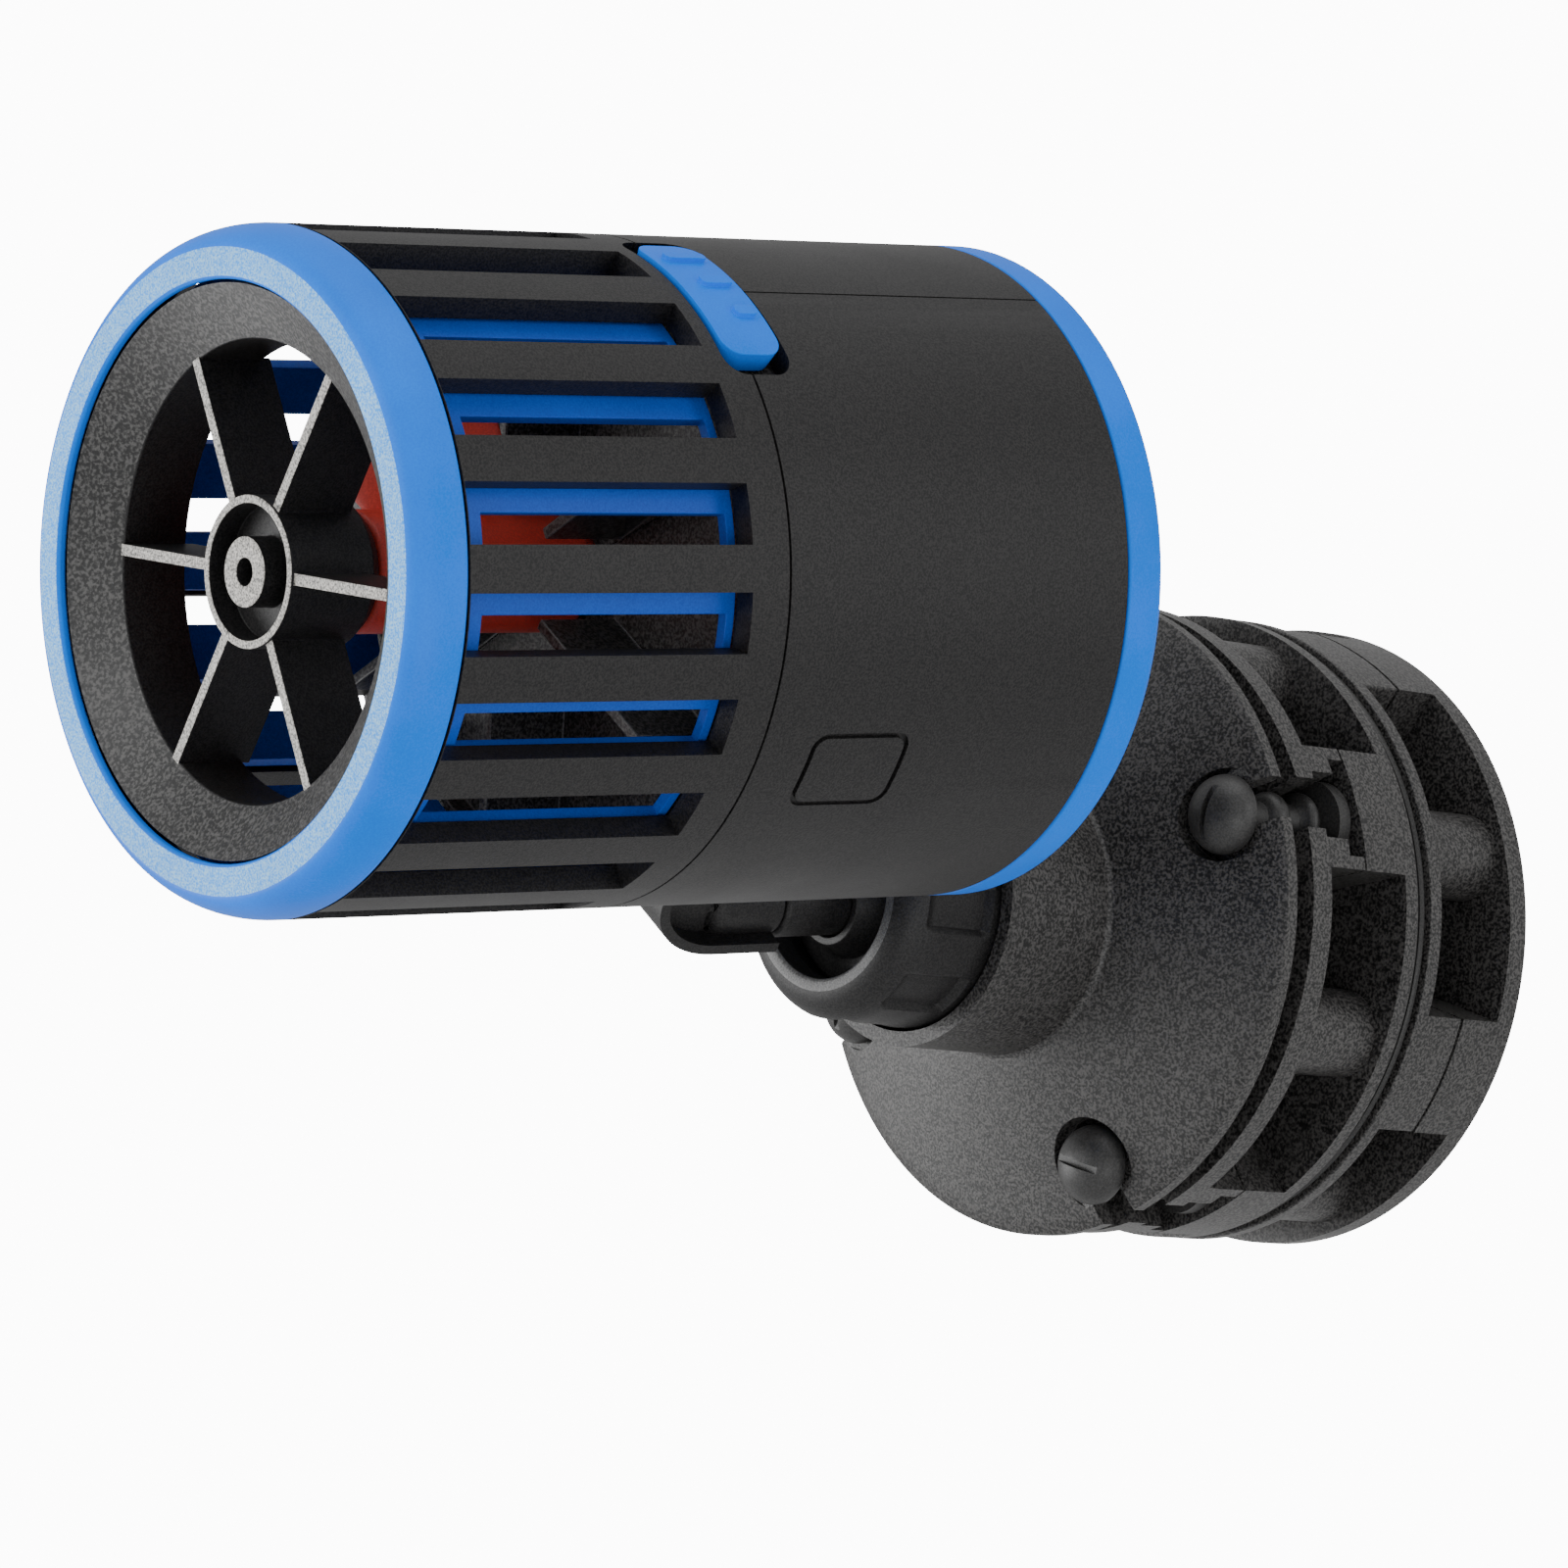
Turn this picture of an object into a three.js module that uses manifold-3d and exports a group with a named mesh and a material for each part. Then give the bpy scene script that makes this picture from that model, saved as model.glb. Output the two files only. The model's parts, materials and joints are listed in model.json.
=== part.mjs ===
// Wave maker pump on a magnetic glass mount.  Millimetres, +Z up.  The mount axis runs along Y:
// the outer magnet holder's flat face is the plane y = 0 and the pump head reaches toward -Y.
import * as THREE from "three";
import { mergeVertices } from "three/addons/utils/BufferGeometryUtils.js";
import Module from "manifold-3d";

const wasm = await Module();
wasm.setup();

// ---- driving dimensions -------------------------------------------------------------------
const GAP = 0.3; // clearance between neighbouring pieces
const SEG = 32; // sides of a large turned surface
const MID_SEG = 20; // sides of a middling one
const SMALL_SEG = 12; // sides of a small one

// Pump head, measured along its own axis from the front face
const HEAD_R = 37; // outer radius of the cage and the housing
const WALL = 2.6; // wall of the cage and the housing
const RING_LEN = 5.9; // front ring, from the front face to its rear edge
const SLOT_END = 43; // rear end of the cage slots
const CAGE_END = 47.9; // rear edge of the cage
const HOUSING_END = 95.4; // rear edge of the motor housing
const HEAD_LEN = 101.2; // front face to the rear edge of the rear ring
const SLOTS = 20; // slots round the cage
const BAR_DEG = 7.8; // width of one cage bar
const RIB_DEG = 11.2; // width of one rib of the inner screen
const RIB_SHIFT = 2.5; // turn of the screen's ribs against the cage bars
const SCREEN_T = 1.2; // wall of the inner screen
const MOUTH_R = 24.7; // radius of the outlet mouth
const FACE_DEPTH = 4.5; // how far the mouth lies behind the front face
const NOZZLE_END = 12.5; // rear end of the outlet tube
const SPOKES = 6;
const SPOKE_T = 1.3;
const HUB_R = 8.2; // fixed hub that carries the front bearing
const HUB_END = 16;
const SHAFT_R = 1.5;
const PROP_LEN = 28.6; // length of the propeller hub
const PROP_HUB_R = 6.7;
const PROP_R = 22.5; // propeller tip radius
const BLADES = 2;
const BLADE_AT = 27.3; // middle of the blades, from the front face
const BLADE_DEG = 143; // first blade
const VANE_LEN = 10; // vanes in front of the bulkhead
const ROTOR_R = 9.9;
const ROTOR_LEN = 20.4;
const LATCH_DEG = 32.6; // latch slider, arc length
const LATCH_LEN = 7.9; // latch slider, along the head
const LATCH_TRAVEL = 3.2; // free travel each way, degrees

// Stem and ball joint
const STEM_GAP = 10.3; // skin of the head to the stem axis
const STEM_REACH = 10.45; // rear end of the head to the ball centre
const BALL_R = 11;
const STEM_R = 4.43;
const KEEL_T = 10.6;
const KEEL_LEN = 20; // keel, along the stem
const KEEL_ROUND = [10.5, 8]; // corner of the keel, along the stem and across it
const KEEL_RIM = 3.6; // stem axis to the keel's lower edge
const SOCKET_R = 4;
const SOCKET_LEN = 10.6;
const HEX_AF = 5.4; // stem tip across its flats
const CABLE_R = 3.5; // bore of the cable gland

// Magnetic mount, heights measured from the outer flat face
const MOUNT_R = 38.4; // radius of the two magnet holders
const NUT_LEN = 13.8; // lock nut, beyond the collar
const NUT_LIP = 7.8; // ball centre to the nut's front edge
const NUT_WALL = 4.35; // ball to the nut's outer skin
const FLANGE_T = 2.2; // flange of a magnet holder
const WINDOW_H = 12.6; // clear height of the holder windows
const PAD_T = 0.8;
const BLOCK_DEG = 23.4; // block between two windows
const DRUM_R = 20.5; // drum that holds the magnet
const POST_R = 5.3;
const POST_AT = 31.7;
const PLATE_R = 39;
const PLATE_GAP = 3.5; // air gap bridged by the dampers
const PLATE_RISE = 7.5; // rise of the cone from its rim to the collar
const COLLAR_WALL = 2.2; // nut's outer skin to the collar's
const COLLAR_LEN = 16.3;
const NUT_RIBS = 8;
const DAMPER_AT = 32.4; // dampers' distance from the mount axis
const DAMPER_DEG = 26; // first damper, from +Z toward -X
const DRY_DEG = 67.7; // first block of the outer holder

// Pose of the head on its ball
const TILT_DEG = 7.55;
const TILT_AXIS = new THREE.Vector3(0.8161, 0, -0.578).normalize();
const ROLL_DEG = 32.64;

// ---- materials ----------------------------------------------------------------------------
const material = (color, roughness, metalness = 0) =>
  new THREE.MeshStandardMaterial({ color, roughness, metalness });
const BLACK = () => material(0x2b2c2e, 0.62);
const CHARCOAL = () => material(0x3a3b3d, 0.7);
const BLUE = () => material(0x0a7fe6, 0.45);
const DEEP_BLUE = () => material(0x2f6fb8, 0.5);
const RED = () => material(0xb3271a, 0.45);
const RUBBER = () => material(0x2e2e2f, 0.85);
const STEEL = () => material(0xa9adb2, 0.35, 0.9);
const COPPER = () => material(0xb4622d, 0.4, 0.8);
const MAGNET = () => material(0x77797c, 0.3, 0.85);
const CERAMIC = () => material(0xe6e2d8, 0.35);

// ---- shape helpers ------------------------------------------------------------------------
const rad = THREE.MathUtils.degToRad;

// A three.js geometry as a manifold solid that faces outwards.
function solid(geometry) {
  const flat = geometry.index ? geometry.toNonIndexed() : geometry;
  const bare = new THREE.BufferGeometry();
  bare.setAttribute("position", flat.getAttribute("position"));
  const merged = mergeVertices(bare, 1e-4);
  const index = merged.index.array;
  const keep = [];
  for (let i = 0; i < index.length; i += 3) {
    const [a, b, c] = [index[i], index[i + 1], index[i + 2]];
    if (a !== b && b !== c && c !== a) keep.push(a, b, c);
  }
  const build = (tris) =>
    new wasm.Manifold(
      new wasm.Mesh({
        numProp: 3,
        vertProperties: new Float32Array(merged.attributes.position.array),
        triVerts: new Uint32Array(tris),
      }),
    );
  const made = build(keep);
  if (made.volume() > 0) return made;
  for (let i = 0; i < keep.length; i += 3) [keep[i], keep[i + 1]] = [keep[i + 1], keep[i]];
  return build(keep);
}

const join = (...solids) => wasm.Manifold.union(solids.flat());
const cut = (from, ...solids) => from.subtract(join(...solids));

// Adds one named mesh made from a solid.
function add(parent, name, made, mat) {
  const mesh = made.getMesh();
  const geometry = new THREE.BufferGeometry();
  const positions = new Float32Array(mesh.vertProperties);
  geometry.setAttribute("position", new THREE.BufferAttribute(positions, 3));
  geometry.setIndex(new THREE.BufferAttribute(new Uint32Array(mesh.triVerts), 1));
  geometry.computeVertexNormals();
  const node = new THREE.Mesh(geometry, mat);
  node.name = name;
  parent.add(node);
}

// Turned about Y from [radius, y] points; a profile off the axis is closed on itself.
function latheGeometry(points, seg) {
  const offAxis = points[0][0] > 0;
  const loop = offAxis ? [...points, points[0]] : points;
  return new THREE.LatheGeometry(loop.map(([r, y]) => new THREE.Vector2(r, y)), seg);
}
const lathe = (points, seg = SEG) => solid(latheGeometry(points, seg));
const tube = (r0, r1, y0, y1, seg = SEG) =>
  lathe([[r0, y0], [r1, y0], [r1, y1], [r0, y1]], seg);
const rod = (r, y0, y1, seg = SMALL_SEG) => lathe([[0, y0], [r, y0], [r, y1], [0, y1]], seg);

// A rod along Y whose axis stands off the main axis: distance out, angle from +Z toward +X.
function rodAt(r, y0, y1, out, deg, seg = SMALL_SEG) {
  const profile = [[0, y0], [r, y0], [r, y1], [0, y1]];
  return solid(latheGeometry(profile, seg).translate(0, 0, out).rotateY(rad(deg)));
}

function box(width, y0, y1, z0, z1, deg = 0) {
  const g = new THREE.BoxGeometry(width, y1 - y0, z1 - z0);
  return solid(g.translate(0, (y0 + y1) / 2, (z0 + z1) / 2).rotateY(rad(deg)));
}

// A sector of a ring, centred on an angle from +Z toward +X.
function wedge(r0, r1, y0, y1, mid, width) {
  const shape = new THREE.Shape();
  const n = Math.max(2, Math.ceil(width / 9));
  const at = (r, i) => {
    const t = rad(mid - width / 2 + (width * i) / n);
    return [r * Math.sin(t), -r * Math.cos(t)];
  };
  shape.moveTo(...at(r0, 0));
  for (let i = 0; i <= n; i++) shape.lineTo(...at(r1, i));
  for (let i = n; i >= 0; i--) shape.lineTo(...at(r0, i));
  const g = new THREE.ExtrudeGeometry(shape, { depth: y1 - y0, bevelEnabled: false });
  return solid(g.rotateX(-Math.PI / 2).translate(0, y0, 0));
}

// A rounded rectangle in the plane of X and Y, run along Z.
function pad(width, length, radius, yMid, z0, z1, deg = 0, xMid = 0) {
  const [w, l] = [width / 2, length / 2];
  const shape = new THREE.Shape();
  shape.absarc(w - radius, l - radius, radius, 0, Math.PI / 2);
  shape.absarc(radius - w, l - radius, radius, Math.PI / 2, Math.PI);
  shape.absarc(radius - w, radius - l, radius, Math.PI, 1.5 * Math.PI);
  shape.absarc(w - radius, radius - l, radius, 1.5 * Math.PI, 2 * Math.PI);
  const g = new THREE.ExtrudeGeometry(shape, {
    depth: z1 - z0,
    bevelEnabled: false,
    curveSegments: 3,
  });
  return solid(g.translate(xMid, yMid, z0).rotateY(rad(deg)));
}

// An outline in the plane of Y and Z, run along X and centred on x = 0.
function sidePlate(points, thickness) {
  const shape = new THREE.Shape(points.map(([y, z]) => new THREE.Vector2(-z, y)));
  const g = new THREE.ExtrudeGeometry(shape, { depth: thickness, bevelEnabled: false });
  return solid(g.translate(0, 0, -thickness / 2).rotateY(Math.PI / 2));
}

const times = (n, make) => Array.from({ length: n }, (_, i) => make((i * 360) / n, i));

// Points on an ellipse quarter or arc, from angle a0 to a1 in degrees.
const arc = (r, y, rr, ry, a0, a1, n = 5) =>
  times(n + 1, (_, i) => {
    const t = rad(a0 + ((a1 - a0) * i) / n);
    return [r + rr * Math.cos(t), y + ry * Math.sin(t)];
  });

// ---- heights of the mount's layers, from its outer flat face ------------------------------
const dryFlange = FLANGE_T + 0.7;
const dryTop = dryFlange + WINDOW_H - 0.2;
const padDry = dryTop + FLANGE_T - 0.2 + GAP;
const padWet = padDry + PAD_T + GAP;
const wetFrom = padWet + PAD_T + GAP;
const wetWindow = wetFrom + FLANGE_T - 0.2;
const wetTop = wetWindow + WINDOW_H + 0.6;
const wetEnd = wetTop + FLANGE_T + 1;
const rimFrom = wetEnd + PLATE_GAP;
const rimTop = rimFrom + 2.1;
const collarFrom = rimTop + PLATE_RISE;
const collarEnd = collarFrom + COLLAR_LEN;
const floorTop = collarFrom + 2.5;
const nutEnd = collarEnd + NUT_LEN;
const ballAt = nutEnd - NUT_LIP;

// ---- sizes that follow from others --------------------------------------------------------
const nutR = BALL_R + NUT_WALL;
const nutMouthR = BALL_R - 0.7;
const collarR = nutR + COLLAR_WALL;
const stemOffset = HEAD_R + STEM_GAP;
const ballBack = HEAD_LEN + STEM_REACH;

// ---- frames -------------------------------------------------------------------------------
const model = new THREE.Group();
const mount = new THREE.Group();
mount.rotation.z = Math.PI; // heights in the mount run toward -Y, and its +X is -X
const head = new THREE.Group();
head.position.set(0, -ballAt, 0);
head.quaternion
  .setFromAxisAngle(TILT_AXIS, rad(TILT_DEG))
  .multiply(new THREE.Quaternion().setFromAxisAngle(new THREE.Vector3(0, 1, 0), rad(ROLL_DEG)));
const pump = new THREE.Group();
pump.position.set(0, -ballBack, stemOffset);
head.add(pump);
model.add(mount, head);

// ---- pump head: cage side -----------------------------------------------------------------
const HEAD_IN = HEAD_R - WALL;
const FACE_R = HEAD_R - 3; // outer edge of the flat front face
const LIP_R = HEAD_R - 6.1; // inner edge of the flat front face
const GUARD_R = LIP_R - GAP;
const SCREEN_R = HEAD_IN - 0.6;
const SCREEN_IN = SCREEN_R - SCREEN_T;
const PITCH = 360 / SLOTS;

const hoopR = HEAD_R - 1.9;
add(
  pump,
  "front_ring",
  lathe([
    [LIP_R, 0],
    [FACE_R, 0],
    ...arc(FACE_R, RING_LEN, HEAD_R - FACE_R, RING_LEN, -70, 0, 4),
    [hoopR + GAP, RING_LEN],
    [hoopR + GAP, 1.4],
    [LIP_R + 0.5, 1.4],
    [LIP_R, 0.9],
  ]),
  BLUE(),
);

const hubRecess = 3;
const bushR = 3;
const bushFrom = HUB_END - 6;
const guardFace = lathe([
  [MOUTH_R, FACE_DEPTH],
  [GUARD_R, 0.9],
  [GUARD_R, 2.6],
  [MOUTH_R + 1.6, FACE_DEPTH + 1.6],
  [MOUTH_R + 1.6, NOZZLE_END],
  [MOUTH_R, NOZZLE_END],
]);
const hub = cut(
  join(
    lathe([[0, 4.5], [HUB_R, 4.5], [HUB_R, HUB_END - 1.5], [HUB_R - 1.2, HUB_END], [0, HUB_END]], MID_SEG),
    tube(HUB_R - 0.8, HUB_R, 3.9, 5, MID_SEG),
    rod(3.8, 3.5, 6),
  ),
  tube(3.8, HUB_R - 0.8, 2, 3.9 + hubRecess, MID_SEG),
  rod(SHAFT_R, 3, 9),
  rod(SHAFT_R + GAP, 8, HUB_END + 1),
  rod(bushR + GAP, bushFrom - GAP, HUB_END + 1),
);
const spokes = times(SPOKES, (deg) =>
  box(SPOKE_T, 4.1, 13.6, HUB_R - 1.2, MOUTH_R + 0.8, deg),
);
add(pump, "nozzle_guard", join(guardFace, cut(join(spokes), rod(HUB_R - 0.8, 0, 7, MID_SEG)), hub), BLACK());
add(
  pump,
  "front_bush",
  tube(SHAFT_R + GAP, bushR, bushFrom, HUB_END - 0.6, SMALL_SEG),
  CERAMIC(),
);

const slotDeg = PITCH - BAR_DEG;
const slotFrom = RING_LEN + 0.4;
const cageShell = lathe([
  [HEAD_IN, 1.8],
  [hoopR, 1.8],
  [hoopR, RING_LEN + GAP],
  [HEAD_R, RING_LEN + GAP],
  [HEAD_R, CAGE_END],
  [HEAD_IN, CAGE_END],
]);
const pocketDeg = LATCH_DEG + 2 * LATCH_TRAVEL + 1;
const pocketWide = 2 * HEAD_R * Math.sin(rad(pocketDeg / 2));
const pocketMid = CAGE_END + 1.6;
const latchPocket = pad(pocketWide, LATCH_LEN + 1.1, 2.6, pocketMid, HEAD_R - 14, HEAD_R + 2);
const pocket = latchPocket.intersect(tube(HEAD_IN - 0.2, HEAD_R + 1, 40, 60));
add(
  pump,
  "outer_cage",
  cut(
    cageShell,
    times(SLOTS, (deg) => wedge(HEAD_IN - 1, HEAD_R + 1, slotFrom, SLOT_END, deg + PITCH / 2, slotDeg)),
    pocket,
  ),
  BLACK(),
);

const screenFrom = RING_LEN + 0.9;
const screenEnd = SLOT_END + 0.2;
add(
  pump,
  "inner_screen",
  cut(
    tube(SCREEN_IN, SCREEN_R, screenFrom, screenEnd),
    times(SLOTS, (deg) =>
      wedge(
        SCREEN_IN - 1,
        SCREEN_R + 1,
        screenFrom + 3.4,
        screenEnd - 1.1,
        deg + PITCH / 2 + RIB_SHIFT,
        PITCH - RIB_DEG,
      ),
    ),
  ),
  DEEP_BLUE(),
);

// ---- pump head: latch and motor housing ---------------------------------------------------
const frameR = HEAD_IN - 0.4;
const latchWide = 2 * HEAD_R * Math.sin(rad(LATCH_DEG / 2));
const latchBody = pad(latchWide, LATCH_LEN, 2.4, pocketMid, HEAD_R - 14, HEAD_R + 2).intersect(
  tube(frameR + GAP, HEAD_R + 0.35, 40, 60),
);
const latchRibs = [-9.8, -1.6, 6.6].map((deg, i) => {
  const length = 5.4 - 1.3 * i;
  const from = pocketMid + LATCH_LEN / 2 - 1 - length;
  return wedge(HEAD_R - 0.5, HEAD_R + 0.95, from, from + length, deg, 2);
});
add(pump, "latch", join(latchBody, latchRibs), BLUE());

const STEM_Z = -stemOffset;
const keelEnd = HOUSING_END;
const keelFrom = keelEnd - KEEL_LEN;
const keelBottom = STEM_Z - KEEL_RIM;
const [roundLen, roundDepth] = KEEL_ROUND;
const keelOutline = (inset) => [
  [keelEnd, -HEAD_IN - 1],
  [keelFrom + inset, -HEAD_IN - 1],
  ...arc(
    keelFrom + roundLen,
    keelBottom + roundDepth,
    roundLen - inset,
    roundDepth - inset,
    180,
    270,
    6,
  ),
  [keelEnd, keelBottom + inset],
];
const socketFrom = keelEnd - SOCKET_LEN;
const onStem = (geometry) => solid(geometry.translate(0, 0, STEM_Z));
const socketTube = onStem(
  latheGeometry(
    [[0, socketFrom], [SOCKET_R - 1, socketFrom], [SOCKET_R, socketFrom + 1], [SOCKET_R, keelEnd], [0, keelEnd]],
    SMALL_SEG,
  ),
);
const hexGeometry = (flats, y0, y1) =>
  new THREE.CylinderGeometry(flats / Math.sqrt(3), flats / Math.sqrt(3), y1 - y0, 6)
    .rotateY(Math.PI / 6)
    .translate(0, (y0 + y1) / 2, 0);
const tipFrom = keelEnd - 9.4;
const socketBore = onStem(hexGeometry(HEX_AF + 2 * GAP, tipFrom - GAP, keelEnd + 1));
const recess = (side) =>
  cut(
    sidePlate(keelOutline(1.3), KEEL_T).intersect(
      solid(new THREE.BoxGeometry(3.4, 60, 60).translate(side * (KEEL_T / 2 + 1.7 - 2.8), keelEnd - 30, -60)),
    ),
    socketTube,
  );
const keel = join(cut(sidePlate(keelOutline(0), KEEL_T), recess(1), recess(-1)), socketTube);
const keelKept = keel.intersect(
  solid(new THREE.BoxGeometry(40, 60, 60).translate(0, keelEnd - 30, keelBottom + 30)),
);
const housingShell = tube(HEAD_IN, HEAD_R, CAGE_END + GAP, HOUSING_END);
const badge = cut(
  pad(9.6, 13.4, 2, CAGE_END + 13.8, HEAD_R - 0.7, HEAD_R + 2, 90),
  pad(8.2, 12, 1.4, CAGE_END + 13.8, HEAD_R - 2, HEAD_R + 3, 90),
);
const housing = cut(join(housingShell, keelKept), pocket, badge, socketBore);
const half = (side) =>
  housing.intersect(
    solid(new THREE.BoxGeometry(100, 200, 200).translate(side * (50 + GAP / 2), HEAD_LEN / 2, 0)),
  );
add(pump, "housing_right", half(1), BLACK());
add(pump, "housing_left", half(-1), BLACK());

add(
  pump,
  "rear_ring",
  lathe([
    [frameR + GAP, HOUSING_END + GAP],
    [HEAD_R, HOUSING_END + GAP],
    [HEAD_R, HEAD_LEN - 3],
    ...arc(HEAD_R - 2, HEAD_LEN - 1.6, 2, 1.6, 20, 90, 3),
    [frameR - 1.5, HEAD_LEN],
    [frameR - 1.5, HEAD_LEN - 1],
    [frameR + GAP, HEAD_LEN - 1.4],
  ]),
  BLUE(),
);

const capFrom = HOUSING_END - 5;
const capEnd = HEAD_LEN - 1.9;
const capScrewAt = 26;
const capBody = lathe([
  [0, capEnd - 3.5],
  [frameR - 2.4, capEnd - 3.5],
  [frameR - 2.4, capFrom],
  [frameR, capFrom],
  [frameR, capFrom + 1],
  [frameR - 1, capFrom + 1],
  [frameR - 1, capFrom + 3],
  [frameR, capFrom + 3],
  [frameR, capEnd],
  [0, capEnd],
]);
const screwDegs = [60, 180, 300];
add(
  pump,
  "rear_cap",
  cut(
    capBody,
    rod(CABLE_R + 1.3 + GAP, capEnd - 6, capEnd + 1, MID_SEG),
    screwDegs.map((deg) => rodAt(1.5, capEnd - 6, capEnd + 1, capScrewAt, deg)),
    screwDegs.map((deg) => rodAt(3, capEnd - 1.6, capEnd + 1, capScrewAt, deg)),
  ),
  BLACK(),
);
add(
  pump,
  "cap_seal",
  lathe([
    [frameR - 0.7, capFrom + 1.4],
    [frameR + 0.1, capFrom + 1.4],
    [frameR + 0.1, capFrom + 2.6],
    [frameR - 0.7, capFrom + 2.6],
  ]),
  RUBBER(),
);
screwDegs.forEach((deg, i) => {
  const slotCut = solid(
    new THREE.BoxGeometry(3.4, 0.8, 0.7).translate(0, capEnd - 0.3, capScrewAt).rotateY(rad(deg)),
  );
  const screw = join(
    rodAt(2.6, capEnd - 1.3, capEnd - 0.2, capScrewAt, deg),
    rodAt(1.2, capEnd - 7, capEnd - 1, capScrewAt, deg, 12),
  );
  add(pump, "cap_screw_" + (i + 1), cut(screw, slotCut), STEEL());
});
add(
  pump,
  "cable_gland",
  lathe(
    [
      [CABLE_R, capEnd - 3],
      [CABLE_R + 1.3, capEnd - 3],
      [CABLE_R + 1.3, capEnd + GAP],
      [CABLE_R + 3.5, capEnd + GAP],
      [CABLE_R + 3.5, capEnd + 1.8],
      [CABLE_R + 1.9, capEnd + 2.6],
      [CABLE_R + 0.9, capEnd + 8],
      [CABLE_R, capEnd + 8],
    ],
    MID_SEG,
  ),
  RUBBER(),
);

// ---- pump head: motor and propeller -------------------------------------------------------
const propFrom = HUB_END + 0.6;
const propEnd = propFrom + PROP_LEN;
const bulkhead = propEnd + 1.2;
const canIn = ROTOR_R + 0.7;
const canR = canIn + 1.3;
const neckR = 4.6;
const rotorFrom = bulkhead + 5.2;
const rotorEnd = rotorFrom + ROTOR_LEN;
const canFrom = bulkhead + 3.3;
const frameEnd = pocketMid + LATCH_LEN / 2 + 2;
const frame = lathe([
  [neckR + 0.7, bulkhead],
  [frameR - 2, bulkhead],
  [frameR - 2, screenEnd + 0.6],
  [frameR, screenEnd + 0.6],
  [frameR, frameEnd],
  [frameR - 2, frameEnd],
  [frameR - 2, bulkhead + 3],
  [neckR + 0.7, bulkhead + 3],
]);
const vanes = times(SPOKES, (deg) =>
  box(SPOKE_T, bulkhead - VANE_LEN, bulkhead + 0.5, PROP_HUB_R + 3, SCREEN_IN - 1.6, deg + 30),
);
add(pump, "motor_frame", join(frame, vanes), CHARCOAL());
add(
  pump,
  "motor_can",
  cut(
    lathe([
      [canIn, canFrom],
      [canR, canFrom],
      [canR, rotorEnd + 5.6],
      [0.001, rotorEnd + 5.6],
      [0.001, rotorEnd + 0.8],
      [canIn, rotorEnd + 0.8],
    ]),
    rod(3.9, rotorEnd, rotorEnd + 4.6),
  ),
  CHARCOAL(),
);
const coreFrom = frameEnd + GAP;
const coreEnd = rotorEnd - 0.5;
const teeth = times(SPOKES, (deg) => box(5, coreFrom, coreEnd, canR + 0.2, frameR - 6, deg));
add(
  pump,
  "stator_core",
  cut(
    join(tube(frameR - 7, frameR - 0.3, coreFrom, coreEnd), teeth),
    rod(canR + GAP, coreFrom - 1, coreEnd + 1, MID_SEG),
  ),
  STEEL(),
);
times(SPOKES, (deg, i) => {
  const wound = cut(
    box(9.4, coreFrom - 2, coreEnd + 2, canR + 4.6, frameR - 7.6, deg),
    box(5 + 2 * GAP, coreFrom - GAP, coreEnd + GAP, canR, frameR, deg),
  );
  add(pump, "stator_coil_" + (i + 1), wound, COPPER());
});
add(pump, "rotor_magnet", tube(SHAFT_R + GAP + 0.2, ROTOR_R, rotorFrom, rotorEnd, MID_SEG), MAGNET());
add(pump, "shaft", rod(SHAFT_R, HUB_END - 6.6, rotorEnd + 4), CERAMIC());
add(
  pump,
  "rear_bush",
  tube(SHAFT_R + GAP, 3.6, rotorEnd + 0.4, rotorEnd + 4.2, SMALL_SEG),
  CERAMIC(),
);

// One twisted blade: rings of points from the hub out to the tip, joined into a closed skin.
function bladeGeometry(hubR, tipR, yMid) {
  const stations = 7;
  const around = 10;
  const positions = [];
  for (let s = 0; s <= stations; s++) {
    const k = s / stations;
    const r = hubR - 1.5 + (tipR - hubR + 1.5) * k;
    const half = (6.2 + 2.6 * Math.sin(Math.PI * Math.min(k * 1.1, 1))) * (s === stations ? 0.78 : 1);
    const thick = 0.95 - 0.35 * k;
    const pitch = rad(28 + 26 * k);
    for (let j = 0; j < around; j++) {
      const t = (2 * Math.PI * j) / around;
      const along = half * Math.cos(t);
      const across = thick * Math.sin(t);
      const y = yMid + along * Math.cos(pitch) - across * Math.sin(pitch);
      const arcLen = along * Math.sin(pitch) + across * Math.cos(pitch);
      const angle = arcLen / Math.max(r, 9);
      positions.push([r * Math.sin(angle), y, r * Math.cos(angle)]);
    }
  }
  const tris = [];
  const push = (a, b, c) => tris.push(...positions[a], ...positions[b], ...positions[c]);
  for (let s = 0; s < stations; s++) {
    for (let j = 0; j < around; j++) {
      const [a, b] = [s * around + j, s * around + ((j + 1) % around)];
      push(a, b, b + around);
      push(a, b + around, a + around);
    }
  }
  for (let j = 1; j < around - 1; j++) {
    push(0, j + 1, j);
    const top = stations * around;
    push(top, top + j, top + j + 1);
  }
  const g = new THREE.BufferGeometry();
  g.setAttribute("position", new THREE.BufferAttribute(new Float32Array(tris), 3));
  return g;
}
const propHub = lathe(
  [
    [SHAFT_R + GAP, propFrom],
    [PROP_HUB_R - 0.6, propFrom],
    [PROP_HUB_R, propFrom + 1],
    [PROP_HUB_R, propEnd - 1.5],
    [PROP_HUB_R - 1.2, propEnd],
    [neckR, propEnd],
    [neckR, rotorFrom - GAP],
    [SHAFT_R + GAP, rotorFrom - GAP],
  ],
  MID_SEG,
);
const blades = times(BLADES, (deg) =>
  solid(bladeGeometry(PROP_HUB_R, PROP_R, BLADE_AT).rotateY(rad(deg + BLADE_DEG))),
);
add(pump, "propeller", join(propHub, blades), RED());

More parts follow.
